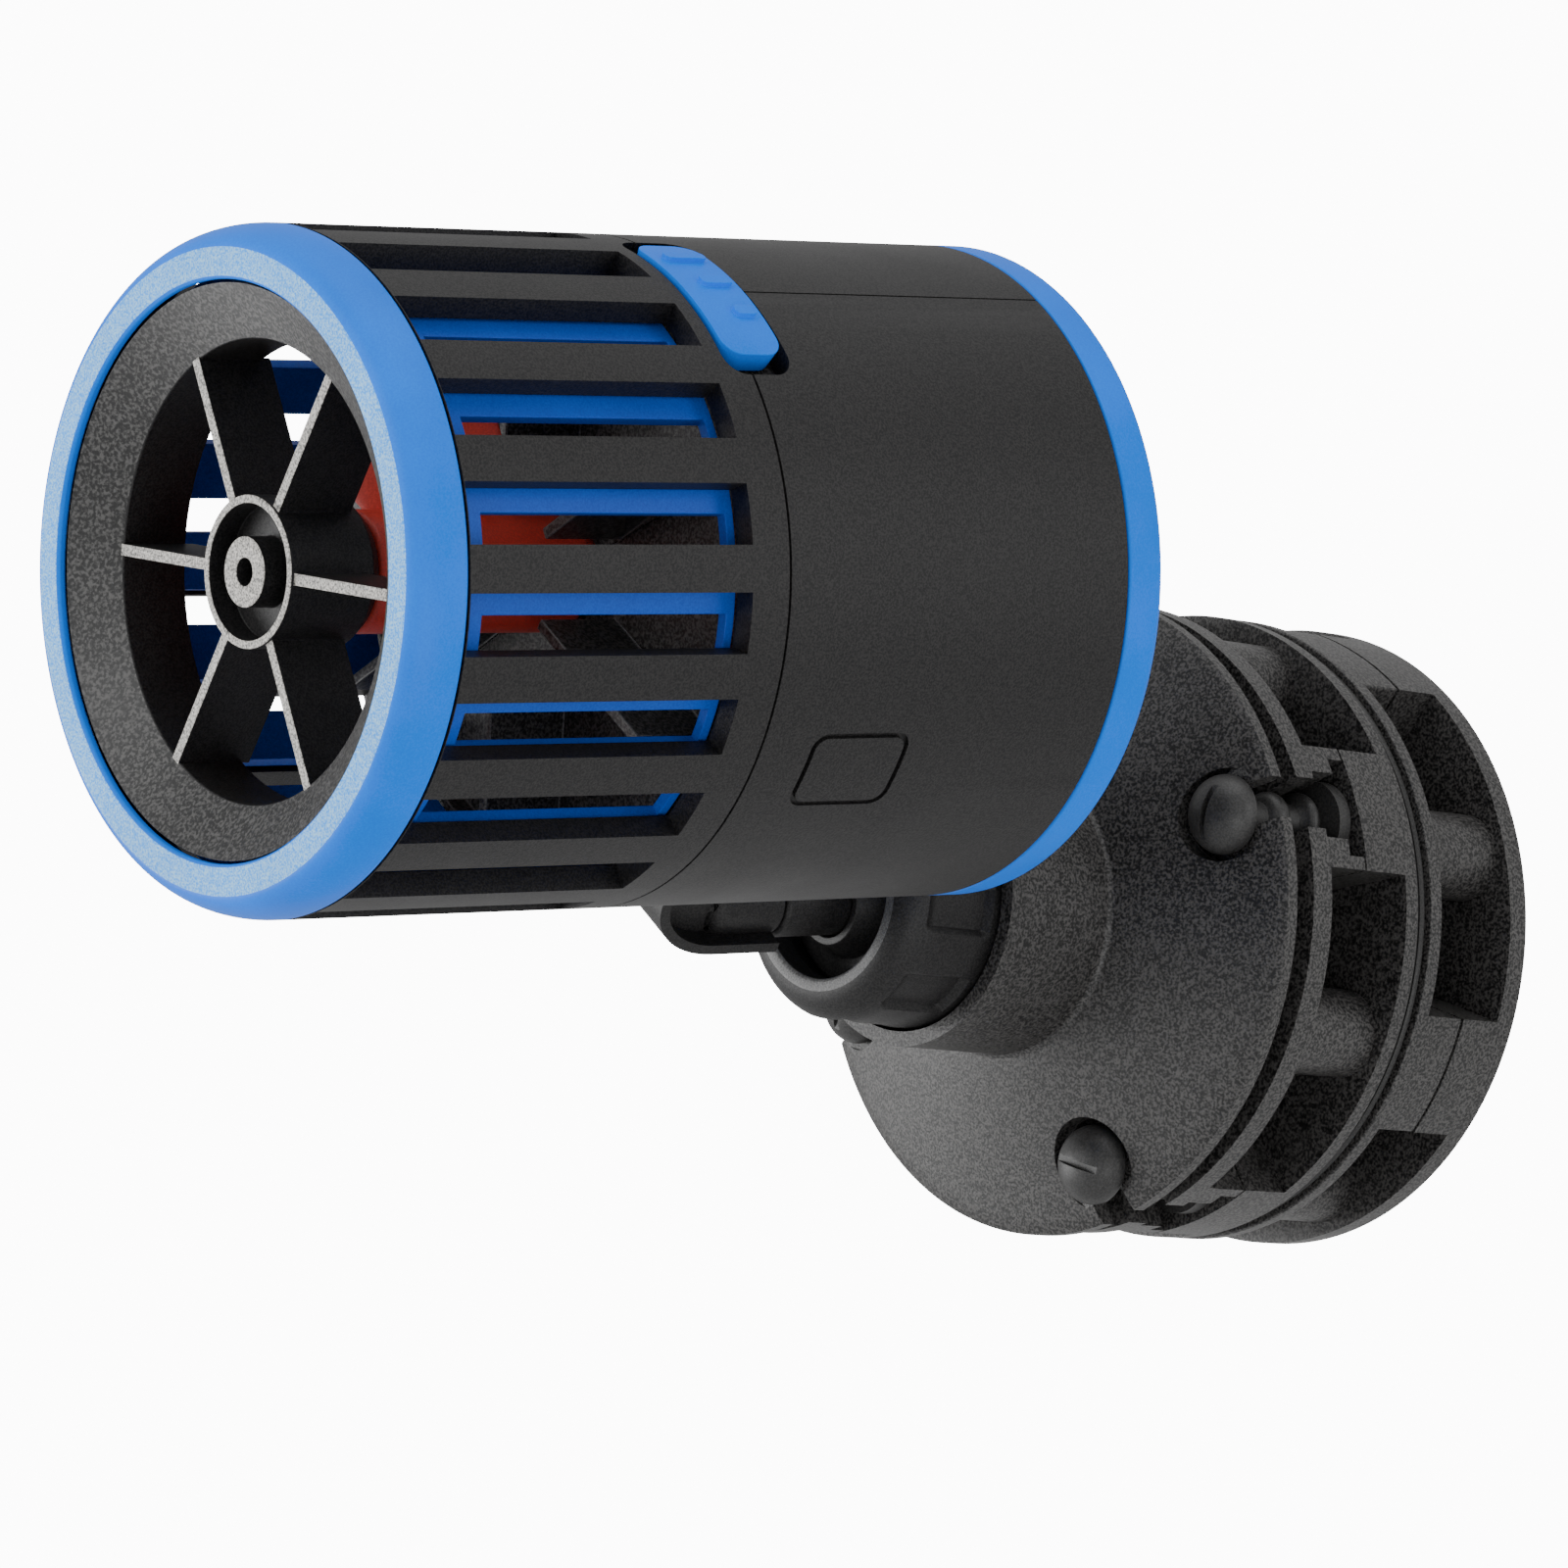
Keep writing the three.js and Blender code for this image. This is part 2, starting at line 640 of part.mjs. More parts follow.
// ---- stem and ball joint ------------------------------------------------------------------
const tipY = tipFrom - ballBack;
const neckY = keelEnd + GAP - ballBack;
const stemBody = join(
  lathe([[0, neckY], [STEM_R - 0.3, neckY], [STEM_R, neckY + 0.5], [STEM_R, 4.4], [0, 4.4]], 24),
  solid(hexGeometry(HEX_AF, tipY, neckY + 1)),
);
add(head, "stem", cut(stemBody, rod(1.7, tipY - 1, tipY + 14)), BLACK());

const ballFlat = 3.4;
const ballArc = (r, from, to, n) => arc(0, 0, r, r, from, to, n);
const ballEdge = THREE.MathUtils.radToDeg(Math.asin(ballFlat / BALL_R));
add(
  head,
  "swivel_ball",
  lathe(
    [
      [STEM_R + GAP, -ballFlat - 3.4],
      [STEM_R + 1.2, -ballFlat - 3.4],
      [STEM_R + 3, -ballFlat],
      ...ballArc(BALL_R, -ballEdge, 78, 8),
      [0, BALL_R - 0.1],
      [0, 4.4 + GAP],
      [STEM_R + GAP, 4.4 + GAP],
    ],
    MID_SEG,
  ),
  BLACK(),
);

// ---- magnetic mount -----------------------------------------------------------------------
// Two half shells that close round a drum magnet: windows, blocks and posts between two flanges.
function holder(name, first, y0, window0, window1, y1, seam, notches) {
  const blocks = (a, b) => times(4, (deg) => wedge(DRUM_R - 1, MOUNT_R, a, b, deg + first, BLOCK_DEG));
  const posts = times(4, (deg) => rodAt(POST_R, window0 - 0.5, window1 - GAP, POST_AT, deg + first + 45));
  const drum = (a, b) => tube(DRUM_R - 2.6, DRUM_R, a, b, MID_SEG);
  const bevel = 0.4;
  const rear = join(
    lathe([[0, y0], [MOUNT_R - bevel, y0], [MOUNT_R, y0 + bevel], [MOUNT_R, window0], [0, window0]]),
    drum(window0 - 0.2, seam),
    blocks(window0 - 0.2, seam),
    posts,
  );
  const front = join(
    lathe([[0, window1], [MOUNT_R, window1], [MOUNT_R, y1 - bevel], [MOUNT_R - bevel, y1], [0, y1]]),
    drum(seam + GAP, window1 + 0.2),
    blocks(seam + GAP, window1 + 0.2),
  );
  add(mount, name + "_shell_rear", rear, CHARCOAL());
  add(mount, name + "_shell_front", notches ? cut(front, notches) : front, CHARCOAL());
  const keeperAt = window1 - 2.6;
  add(mount, name + "_magnet", rod(DRUM_R - 3, window0 + GAP, keeperAt, MID_SEG), MAGNET());
  add(mount, name + "_keeper", rod(DRUM_R - 3, keeperAt + GAP, window1 - GAP, MID_SEG), STEEL());
}

holder("dry", DRY_DEG, 0, dryFlange, dryTop, padDry - GAP, dryFlange + 6.1);
add(mount, "dry_pad", rod(MOUNT_R - 0.7, padDry, padDry + PAD_T, SEG), RUBBER());
add(mount, "wet_pad", rod(MOUNT_R - 0.7, padWet, padWet + PAD_T, SEG), RUBBER());

const wetSeam = wetWindow + 6.8;
// Each damper notch steps from a wide foot pocket at the seam to a narrow neck at the front.
const footTop = wetSeam + GAP + 2.5;
const neckFrom = wetTop + 0.1;
const notchSteps = [
  [12.4, wetSeam + GAP, footTop],
  [8.4, footTop - 0.1, neckFrom],
  [6.4, neckFrom - 0.1, wetEnd + 1],
];
const damperNotches = times(4, (deg) => {
  const at = deg + DAMPER_DEG;
  return notchSteps.flatMap(([wide, from, to]) => [
    rodAt(wide / 2, from, to, DAMPER_AT, at),
    box(wide, from, to, DAMPER_AT, MOUNT_R + 1, at),
  ]);
}).flat();
holder("wet", DAMPER_DEG, wetFrom, wetWindow, wetTop, wetEnd, wetSeam, damperNotches);

const slope = PLATE_RISE / (PLATE_R - collarR);
const coneAt = (r) => rimTop + (PLATE_R - 0.6 - r) * slope;
const underAt = (r) => coneAt(r) - 2.3;
const plateBody = lathe([
  [0, underAt(collarR - 2)],
  [collarR - 2, underAt(collarR - 2)],
  [PLATE_R - 1.6, rimFrom],
  [PLATE_R, rimFrom],
  [PLATE_R, rimTop - 0.5],
  [PLATE_R - 0.6, rimTop],
  [collarR, coneAt(collarR)],
  [collarR, collarEnd],
  [nutR + 0.4, collarEnd],
  [nutR + 0.4, floorTop],
  [0, floorTop],
]);
const ledge = coneAt(DAMPER_AT) - 1.5;
const keyholes = times(4, (deg) => {
  const at = deg + DAMPER_DEG;
  return [
    rodAt(5.6, ledge, collarFrom, DAMPER_AT, at),
    rodAt(2.6, rimFrom - 2, ledge + 1, DAMPER_AT, at),
    box(5.2, rimFrom - 2, collarFrom, DAMPER_AT, PLATE_R + 1, at),
  ];
}).flat();
add(mount, "front_plate", cut(plateBody, keyholes), CHARCOAL());

const damperProfile = [
  [0, wetSeam + GAP + 0.3],
  [5.2, wetSeam + GAP + 0.3],
  [5.2, footTop - GAP],
  [2.1, footTop - GAP],
  [2.1, footTop + 1.2],
  [3.6, footTop + 1.2],
  [3.6, footTop + 2.6],
  [2.1, footTop + 2.6],
  [2.1, neckFrom + 0.8],
  ...arc(0.4, wetEnd + 0.2, 2.7, 2, -50, 50, 3),
  [2.1, rimFrom],
  [2.1, ledge + 0.3],
  [4.3, ledge + 0.3],
  ...arc(0, ledge + 2, 4.8, 3, -10, 70, 3),
  [0, ledge + 5],
];
times(4, (deg, i) => {
  const at = rad(deg + DAMPER_DEG);
  const turned = latheGeometry(damperProfile, 10).translate(0, 0, DAMPER_AT).rotateY(at);
  const screwSlot = new THREE.BoxGeometry(0.9, 1.6, 12)
    .rotateY(rad(55))
    .translate(0, ledge + 4.9, DAMPER_AT)
    .rotateY(at);
  add(mount, "damper_" + (i + 1), cut(solid(turned), solid(screwSlot)), RUBBER());
});

const seatR = nutR - 2.95;
add(
  mount,
  "ball_seat",
  lathe(
    [
      [6, floorTop + GAP],
      [seatR, floorTop + GAP],
      [seatR, ballAt - 0.8],
      ...arc(0, ballAt, BALL_R + GAP, BALL_R + GAP, -4, -54, 5),
      [6, ballAt - Math.sqrt((BALL_R + GAP) ** 2 - 36)],
    ],
    MID_SEG,
  ),
  CHARCOAL(),
);

const cupR = BALL_R + GAP;
const mouthDeg = THREE.MathUtils.radToDeg(Math.acos(nutMouthR / cupR));
const shoulderH = nutEnd - 4.6;
const nutBody = lathe(
  [
    [seatR + 0.4, floorTop + GAP + 0.4],
    [nutR, floorTop + GAP + 0.4],
    [nutR, shoulderH],
    ...arc(nutR - 4, shoulderH, 4, nutEnd - shoulderH, 18, 72, 3),
    [nutMouthR + 0.7, nutEnd],
    [nutMouthR, nutEnd - 0.6],
    ...arc(0, ballAt, cupR, cupR, mouthDeg, 0, 3),
    [seatR + 0.4, ballAt - 0.3],
  ],
  24,
);
const flutes = times(NUT_RIBS, (deg) =>
  wedge(nutR - 1, nutR + 2, collarEnd + 0.6, shoulderH + 1.4, deg, 180 / NUT_RIBS),
);
add(mount, "lock_nut", cut(nutBody, flutes), BLACK());

export default model;
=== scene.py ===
"""Looks of the wave maker pump: finely bevelled moulded shells, procedural plastics, studio.

Lengths in the shape code are millimetres in two local frames whose Y is the turning axis:
PUMP, with y = distance behind the front face, and MOUNT, with y = height over the flat back.
Angles are in degrees from local +Z toward local +X.
"""

import json
import math

import bmesh
import bpy
from mathutils import Matrix, Vector


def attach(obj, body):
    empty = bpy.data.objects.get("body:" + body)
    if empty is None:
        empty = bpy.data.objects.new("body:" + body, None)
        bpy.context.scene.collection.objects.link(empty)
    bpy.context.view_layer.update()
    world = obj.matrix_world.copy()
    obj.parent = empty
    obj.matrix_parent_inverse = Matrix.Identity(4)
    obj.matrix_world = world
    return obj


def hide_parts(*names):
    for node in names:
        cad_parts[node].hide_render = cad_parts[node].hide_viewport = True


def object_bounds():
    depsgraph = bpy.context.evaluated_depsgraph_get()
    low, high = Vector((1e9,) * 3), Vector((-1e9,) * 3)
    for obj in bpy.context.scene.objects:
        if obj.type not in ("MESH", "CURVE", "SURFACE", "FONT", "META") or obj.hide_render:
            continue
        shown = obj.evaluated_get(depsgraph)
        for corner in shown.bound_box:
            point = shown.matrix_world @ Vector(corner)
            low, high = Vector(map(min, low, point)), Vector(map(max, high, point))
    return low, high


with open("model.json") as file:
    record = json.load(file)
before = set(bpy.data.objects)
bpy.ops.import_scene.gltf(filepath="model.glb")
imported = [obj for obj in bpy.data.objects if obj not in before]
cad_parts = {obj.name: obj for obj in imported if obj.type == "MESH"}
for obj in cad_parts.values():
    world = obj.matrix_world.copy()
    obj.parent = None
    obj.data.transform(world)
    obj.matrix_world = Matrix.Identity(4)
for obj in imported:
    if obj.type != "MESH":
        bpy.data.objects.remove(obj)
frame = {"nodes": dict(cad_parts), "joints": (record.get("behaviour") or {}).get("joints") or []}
cad_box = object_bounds()

MM = 0.001
GAP = 0.3
JOINTS = {joint["name"]: joint for joint in frame["joints"]}


# ---- frames, taken from the joints --------------------------------------------------------

def frame_matrix(origin, y_axis, z_hint):
    """A frame with the given Y axis, its Z as near to z_hint as it can be."""
    z_axis = (z_hint - y_axis * z_hint.dot(y_axis)).normalized()
    x_axis = y_axis.cross(z_axis)
    turned = Matrix((x_axis, y_axis, z_axis)).transposed().to_4x4()
    return Matrix.Translation(origin) @ turned


BALL_AT = Vector(JOINTS["ball_tilt"]["pos_m"])
PUMP_AT = Vector(JOINTS["impeller_spin"]["pos_m"])
PUMP_AXIS = Vector(JOINTS["impeller_spin"]["axis"]).normalized()
PUMP = frame_matrix(PUMP_AT, PUMP_AXIS, PUMP_AT - BALL_AT)
STEM = frame_matrix(BALL_AT, PUMP_AXIS, PUMP_AT - BALL_AT)
MOUNT = Matrix.Rotation(math.pi, 4, "Z")


def measure(node, place):
    """Lowest and highest radius and y of a CAD node in a frame, in mm: (r0, r1, y0, y1)."""
    to_local = place.inverted()
    points = [to_local @ v.co / MM for v in frame["nodes"][node].data.vertices]
    radii = [math.hypot(p.x, p.z) for p in points]
    heights = [p.y for p in points]
    return min(radii), max(radii), min(heights), max(heights)


# ---- shape helpers ------------------------------------------------------------------------

def at(r, deg, y):
    """The point at a radius, an angle and a height."""
    t = math.radians(deg)
    return Vector((r * math.sin(t), y, r * math.cos(t)))


def arc(centre, radii, start, end, steps=8):
    """Points [r, y] on an ellipse arc, angles in degrees from the r direction toward y."""
    points = []
    for i in range(steps + 1):
        t = math.radians(start + (end - start) * i / steps)
        points.append((centre[0] + radii[0] * math.cos(t), centre[1] + radii[1] * math.sin(t)))
    return points


def smooth_step(value, low, high):
    """Rises smoothly from 0 at low to 1 at high."""
    t = min(max((value - low) / (high - low), 0.0), 1.0)
    return t * t * (3 - 2 * t)


def lathe(profile, seg=144, shift=None):
    """Turned about Y from [r, y] points; shift(r, y, deg) may move a point outward."""
    bm = bmesh.new()
    closed = profile[0][0] > 1e-6
    rings = []
    for r, y in profile:
        if r < 1e-6:
            rings.append([bm.verts.new((0, y, 0))] * seg)
            continue
        ring = []
        for k in range(seg):
            deg = 360 * k / seg
            ring.append(bm.verts.new(at(r + (shift(r, y, deg) if shift else 0), deg, y)))
        rings.append(ring)
    pairs = list(zip(rings, rings[1:]))
    if closed:
        pairs.append((rings[-1], rings[0]))
    for low, high in pairs:
        for k in range(seg):
            n = (k + 1) % seg
            corners = []
            for v in (low[k], low[n], high[n], high[k]):
                if v not in corners:
                    corners.append(v)
            if len(corners) > 2:
                bm.faces.new(corners)
    return to_object(bm)


def polar(rs, ts, ys, keep):
    """Cells between radii, angles and heights; the skin of the kept ones is one closed mesh."""
    bm = bmesh.new()
    cells = len(ts) - 1
    whole = abs(ts[-1] - ts[0] - 360) < 1e-6
    verts = {}

    def vert(i, j, k):
        j = j % cells if whole else j
        key = (i, 0 if rs[i] < 1e-6 else j, k)
        if key not in verts:
            verts[key] = bm.verts.new(at(rs[i], ts[j], ys[k]))
        return verts[key]

    def kept(i, j, k):
        if whole:
            j %= cells
        inside = 0 <= i < len(rs) - 1 and 0 <= j < cells and 0 <= k < len(ys) - 1
        return inside and keep(i, (ts[j] + ts[j + 1]) / 2, k)

    sides = (
        ((1, 0, 0), ((1, 0, 0), (1, 1, 0), (1, 1, 1), (1, 0, 1))),
        ((-1, 0, 0), ((0, 0, 0), (0, 0, 1), (0, 1, 1), (0, 1, 0))),
        ((0, 1, 0), ((0, 1, 0), (0, 1, 1), (1, 1, 1), (1, 1, 0))),
        ((0, -1, 0), ((0, 0, 0), (1, 0, 0), (1, 0, 1), (0, 0, 1))),
        ((0, 0, 1), ((0, 0, 1), (1, 0, 1), (1, 1, 1), (0, 1, 1))),
        ((0, 0, -1), ((0, 0, 0), (0, 1, 0), (1, 1, 0), (1, 0, 0))),
    )
    for i in range(len(rs) - 1):
        for j in range(cells):
            for k in range(len(ys) - 1):
                if not kept(i, j, k):
                    continue
                for (di, dj, dk), corners in sides:
                    if kept(i + di, j + dj, k + dk):
                        continue
                    face = []
                    for ci, cj, ck in corners:
                        v = vert(i + ci, j + cj, k + ck)
                        if v not in face:
                            face.append(v)
                    if len(face) > 2:
                        bm.faces.new(face)
    return to_object(bm)


def prism(outline, z0, z1):
    """An outline of (x, y) points, run along Z."""
    bm = bmesh.new()
    low = [bm.verts.new((x, y, z0)) for x, y in outline]
    high = [bm.verts.new((x, y, z1)) for x, y in outline]
    bm.faces.new(low)
    bm.faces.new(high)
    for k in range(len(low)):
        n = (k + 1) % len(low)
        bm.faces.new((low[k], low[n], high[n], high[k]))
    return to_object(bm)


def rounded(width, length, radius, y_mid, steps=8):
    """Outline of a rounded rectangle centred on x = 0, y = y_mid."""
    w, l = width / 2 - radius, length / 2 - radius
    corners = ((w, l, 0), (-w, l, 90), (-w, -l, 180), (w, -l, 270))
    points = []
    for x, y, start in corners:
        points += arc((x, y_mid + y), (radius, radius), start, start + 90, steps)
    return points


def hexagon(radius):
    """Outline of a hexagon with two corners on the y axis."""
    corners = [k * math.pi / 3 for k in range(6)]
    return [(radius * math.sin(t), radius * math.cos(t)) for t in corners]


def box(x0, x1, y0, y1, z0, z1):
    return prism([(x0, y0), (x1, y0), (x1, y1), (x0, y1)], z0, z1)


def rod(r, y0, y1, seg=48):
    return lathe([(0, y0), (r, y0), (r, y1), (0, y1)], seg)


def placed(obj, out=0.0, deg=0.0):
    """Moves a shape out along Z, then turns it about Y."""
    turn = Matrix.Rotation(math.radians(deg), 4, "Y")
    obj.data.transform(turn @ Matrix.Translation((0, 0, out)))
    return obj


def to_object(bm):
    """A scene object made from a bmesh, its faces turned outward."""
    bmesh.ops.recalc_face_normals(bm, faces=bm.faces)
    mesh = bpy.data.meshes.new("work")
    bm.to_mesh(mesh)
    bm.free()
    obj = bpy.data.objects.new("work", mesh)
    bpy.context.scene.collection.objects.link(obj)
    return obj


def settle(obj):
    """Applies an object's modifiers to its mesh."""
    depsgraph = bpy.context.evaluated_depsgraph_get()
    mesh = bpy.data.meshes.new_from_object(obj.evaluated_get(depsgraph), depsgraph=depsgraph)
    obj.modifiers.clear()
    old, obj.data = obj.data, mesh
    bpy.data.meshes.remove(old)
    return obj


def boolean(obj, others, operation):
    """Joins or cuts an object with others, which are used up."""
    for other in others:
        modifier = obj.modifiers.new("boolean", "BOOLEAN")
        modifier.object = other
        modifier.operation = operation
        modifier.solver = "EXACT"
    settle(obj)
    for other in others:
        bpy.data.meshes.remove(other.data)
    return obj


def cut(obj, *others):
    return boolean(obj, others, "DIFFERENCE")


def join(obj, *others):
    return boolean(obj, others, "UNION")


def gather(obj, *others):
    """Adds the meshes of other shapes to an object as they are."""
    bm = bmesh.new()
    for part in (obj, *others):
        bm.from_mesh(part.data)
    bm.to_mesh(obj.data)
    bm.free()
    for other in others:
        bpy.data.meshes.remove(other.data)
    return obj


def bent(obj, radius, step=1.0):
    """Wraps a flat shape round Y: x becomes arc length at the radius, z stays the radius."""
    bm = bmesh.new()
    bm.from_mesh(obj.data)
    reach = max(abs(v.co.x) for v in bm.verts)
    for i in range(-int(reach / step), int(reach / step) + 1):
        geometry = bm.verts[:] + bm.edges[:] + bm.faces[:]
        bmesh.ops.bisect_plane(bm, geom=geometry, plane_co=(i * step, 0, 0), plane_no=(1, 0, 0))
    for v in bm.verts:
        v.co = at(v.co.z, math.degrees(v.co.x / radius), v.co.y)
    bm.to_mesh(obj.data)
    bm.free()
    return obj


def bevelled(obj, width, segments=3, angle=38, edge_slot=-1):
    """Rounds the edges sharper than angle; the rounding may take a material slot of its own."""
    bevel = obj.modifiers.new("bevel", "BEVEL")
    bevel.width = width
    bevel.segments = segments
    bevel.limit_method = "ANGLE"
    bevel.angle_limit = math.radians(angle)
    bevel.use_clamp_overlap = True
    bevel.material = edge_slot
    return settle(obj)


def paint(obj, materials, pick):
    """Gives a shape its materials; pick(centre, radius, normal) is the slot of one face."""
    for material in materials:
        obj.data.materials.append(material)
    for face in obj.data.polygons:
        radius = math.hypot(face.center.x, face.center.z)
        face.material_index = pick(face.center, radius, face.normal)


def piece(node, obj, place, body, materials, bevel=0.25, edge=False):
    """Finishes a shape that stands for a CAD node: bevel, place in metres, body it rides on."""
    for material in materials:
        obj.data.materials.append(material)
    if bevel:
        bevelled(obj, bevel, edge_slot=1 if edge else -1)
    obj.data.transform(place @ Matrix.Scale(MM, 4))
    obj.data.shade_smooth()
    obj.data.set_sharp_from_angle(angle=math.radians(40))
    weighted = obj.modifiers.new("normals", "WEIGHTED_NORMAL")
    weighted.keep_sharp = True
    weighted.weight = 80
    settle(obj)
    obj.name = obj.data.name = node + "_look"
    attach(obj, body)
    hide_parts(node)
    return obj


def span(start, end, step=2.6):
    """Evenly spaced angles from start to end, no wider than step, without the end."""
    count = max(1, math.ceil((end - start) / step))
    return [start + (end - start) * i / count for i in range(count)]


def around(count, first, width):
    """Angles round a turn with lines at both edges of count evenly spaced solid sectors."""
    pitch = 360 / count
    angles = []
    for k in range(count):
        mid = k * pitch + first
        angles += span(mid - width / 2, mid + width / 2)
        angles += span(mid + width / 2, mid + pitch - width / 2)
    return angles + [angles[0] + 360]


# ---- materials ----------------------------------------------------------------------------

def node_tree(name):
    """A new material with its nodes and links."""
    material = bpy.data.materials.new(name)
    material.use_nodes = True
    return material, material.node_tree.nodes, material.node_tree.links


def noise(nodes, links, scale, detail, coordinates):
    texture = nodes.new("ShaderNodeTexNoise")
    texture.inputs["Scale"].default_value = scale
    texture.inputs["Detail"].default_value = detail
    links.new(coordinates, texture.inputs["Vector"])
    return texture.outputs["Fac"]


def ramp(nodes, links, source, low, high, colors):
    node = nodes.new("ShaderNodeValToRGB")
    for element, position, color in zip(node.color_ramp.elements, (low, high), colors):
        element.position = position
        element.color = (*color, 1)
    links.new(source, node.inputs["Fac"])
    return node.outputs["Color"]


def moulded(name, dark, light, roughness, grain=4200, relief=0.35, spread=(0.35, 0.68),
            metallic=0.0, specular=0.5, broad=0.12):
    """Moulded plastic: fine spark-eroded grain in colour and relief, with slow mottling."""
    material, nodes, links = node_tree(name)
    shader = nodes["Principled BSDF"]
    shader.inputs["Metallic"].default_value = metallic
    shader.inputs["Specular IOR Level"].default_value = specular
    place = nodes.new("ShaderNodeTexCoord").outputs["Object"]
    fine = noise(nodes, links, grain, 3, place)
    slow = noise(nodes, links, 90, 3, place)
    color = ramp(nodes, links, fine, *spread, (dark, light))
    shade = nodes.new("ShaderNodeMix")
    shade.data_type = "RGBA"
    shade.blend_type = "MULTIPLY"
    shade.inputs["Factor"].default_value = 1.0
    links.new(color, shade.inputs["A"])
    low = 1 - broad
    links.new(ramp(nodes, links, slow, 0.3, 0.7, ((low,) * 3, (1, 1, 1))), shade.inputs["B"])
    links.new(shade.outputs["Result"], shader.inputs["Base Color"])
    rough = nodes.new("ShaderNodeMapRange")
    rough.inputs["To Min"].default_value = roughness - 0.07
    rough.inputs["To Max"].default_value = roughness + 0.07
    links.new(slow, rough.inputs["Value"])
    links.new(rough.outputs["Result"], shader.inputs["Roughness"])
    if relief:
        bump = nodes.new("ShaderNodeBump")
        bump.inputs["Strength"].default_value = relief
        bump.inputs["Distance"].default_value = 0.00008
        links.new(fine, bump.inputs["Height"])
        links.new(bump.outputs["Normal"], shader.inputs["Normal"])
    return material


BLACK = moulded("black_plastic", (0.0015, 0.0015, 0.002), (0.019, 0.018, 0.018), 0.50,
                relief=0.5, spread=(0.40, 0.60), specular=0.35)
SPECKLED = moulded("speckled_face", (0.0015, 0.0015, 0.0015), (0.070, 0.068, 0.066), 0.50,
                   grain=2600, relief=0.5, spread=(0.44, 0.62))
CHARCOAL = moulded("charcoal_plastic", (0.003, 0.003, 0.003), (0.075, 0.072, 0.070), 0.44,
                   grain=3000, relief=0.6, spread=(0.42, 0.60))
# Painted highlight: light speckled grey that stands in for the shine of light on the front faces of the
# guard's spokes and boss.
EDGE_HIGHLIGHT = moulded("painted_edge_highlight", (0.05, 0.05, 0.045), (0.66, 0.63, 0.58), 0.5, grain=4000)
# Painted highlight: grey lighter than the plastics, for light caught on the nut's mouth rim and the
# motor frame's bevelled edges.
RIM_HIGHLIGHT = moulded("painted_rim_highlight", (0.03, 0.03, 0.03), (0.12, 0.12, 0.12), 0.42)
BLUE = moulded("blue_plastic", (0.0, 0.17, 0.88), (0.0, 0.20, 0.94), 0.42, relief=0.08, specular=0.1)
# Painted sheen: speckled pale blue that stands in for the light reflected off the front ring's flat
# face.
SHEEN_BLUE = moulded("painted_sheen_blue", (0.02, 0.32, 0.98), (0.32, 0.66, 1.0), 0.6, spread=(0.38, 0.62),
                  specular=0.2)
SCREEN = moulded("screen_blue", (0.003, 0.070, 0.48), (0.006, 0.100, 0.58), 0.42, relief=0.1,
                 specular=0.2)
RED = moulded("red_plastic", (0.50, 0.035, 0.022), (0.68, 0.055, 0.035), 0.42, relief=0.15)
RUBBER = moulded("rubber", (0.012, 0.012, 0.012), (0.042, 0.041, 0.040), 0.45, relief=0.2)
STEEL = moulded("steel", (0.50, 0.50, 0.51), (0.62, 0.62, 0.63), 0.3, metallic=1.0, relief=0.1)
MAGNET = moulded("magnet", (0.30, 0.31, 0.32), (0.36, 0.36, 0.37), 0.3, metallic=1.0, relief=0.1)
COPPER = moulded("copper", (0.45, 0.16, 0.06), (0.60, 0.24, 0.10), 0.35, metallic=1.0)
CERAMIC = moulded("ceramic", (0.72, 0.70, 0.65), (0.80, 0.78, 0.74), 0.3, relief=0.05)

# ---- pump head: front ring, guard, cage and screen ----------------------------------------
SLOTS = 20
BAR_DEG = 7.8
RIB_DEG = 11.2
RIB_SHIFT = 2.5
SPOKES = 6
SPOKE_T = 1.3
PITCH = 360 / SLOTS

cage_in, cage_out, _, cage_end = measure("outer_cage", PUMP)
ring_in, ring_out, _, ring_end = measure("front_ring", PUMP)
screen_in, screen_out, screen_from, screen_end = measure("inner_screen", PUMP)
guard_top = measure("nozzle_guard", PUMP)[1]
house_end = measure("housing_left", PUMP)[3]
rear_in, rear_out, rear_from, rear_end = measure("rear_ring", PUMP)


def front_ring():
    """Turned ring; its flat front face is painted a speckled pale blue for the sheen of light on it,
    its rounded side smooth.
    """
    face_out = ring_out - 3
    hoop = ring_out - 1.6
    profile = [(ring_in, 0.35), (ring_in + 0.35, 0), (face_out, 0)]
    profile += arc((face_out, ring_end), (ring_out - face_out, ring_end), -84, 0, 20)
    profile += [(hoop, ring_end), (hoop, 1.4), (ring_in + 0.5, 1.4), (ring_in, 0.9)]
    obj = lathe(profile, 192)
    # The flat front face takes slot 1, the painted sheen.
    paint(obj, (BLUE, SHEEN_BLUE), lambda centre, radius, normal: int(centre.y < 0.05))
    piece("front_ring", obj, PUMP, "cage", [], bevel=0.12)


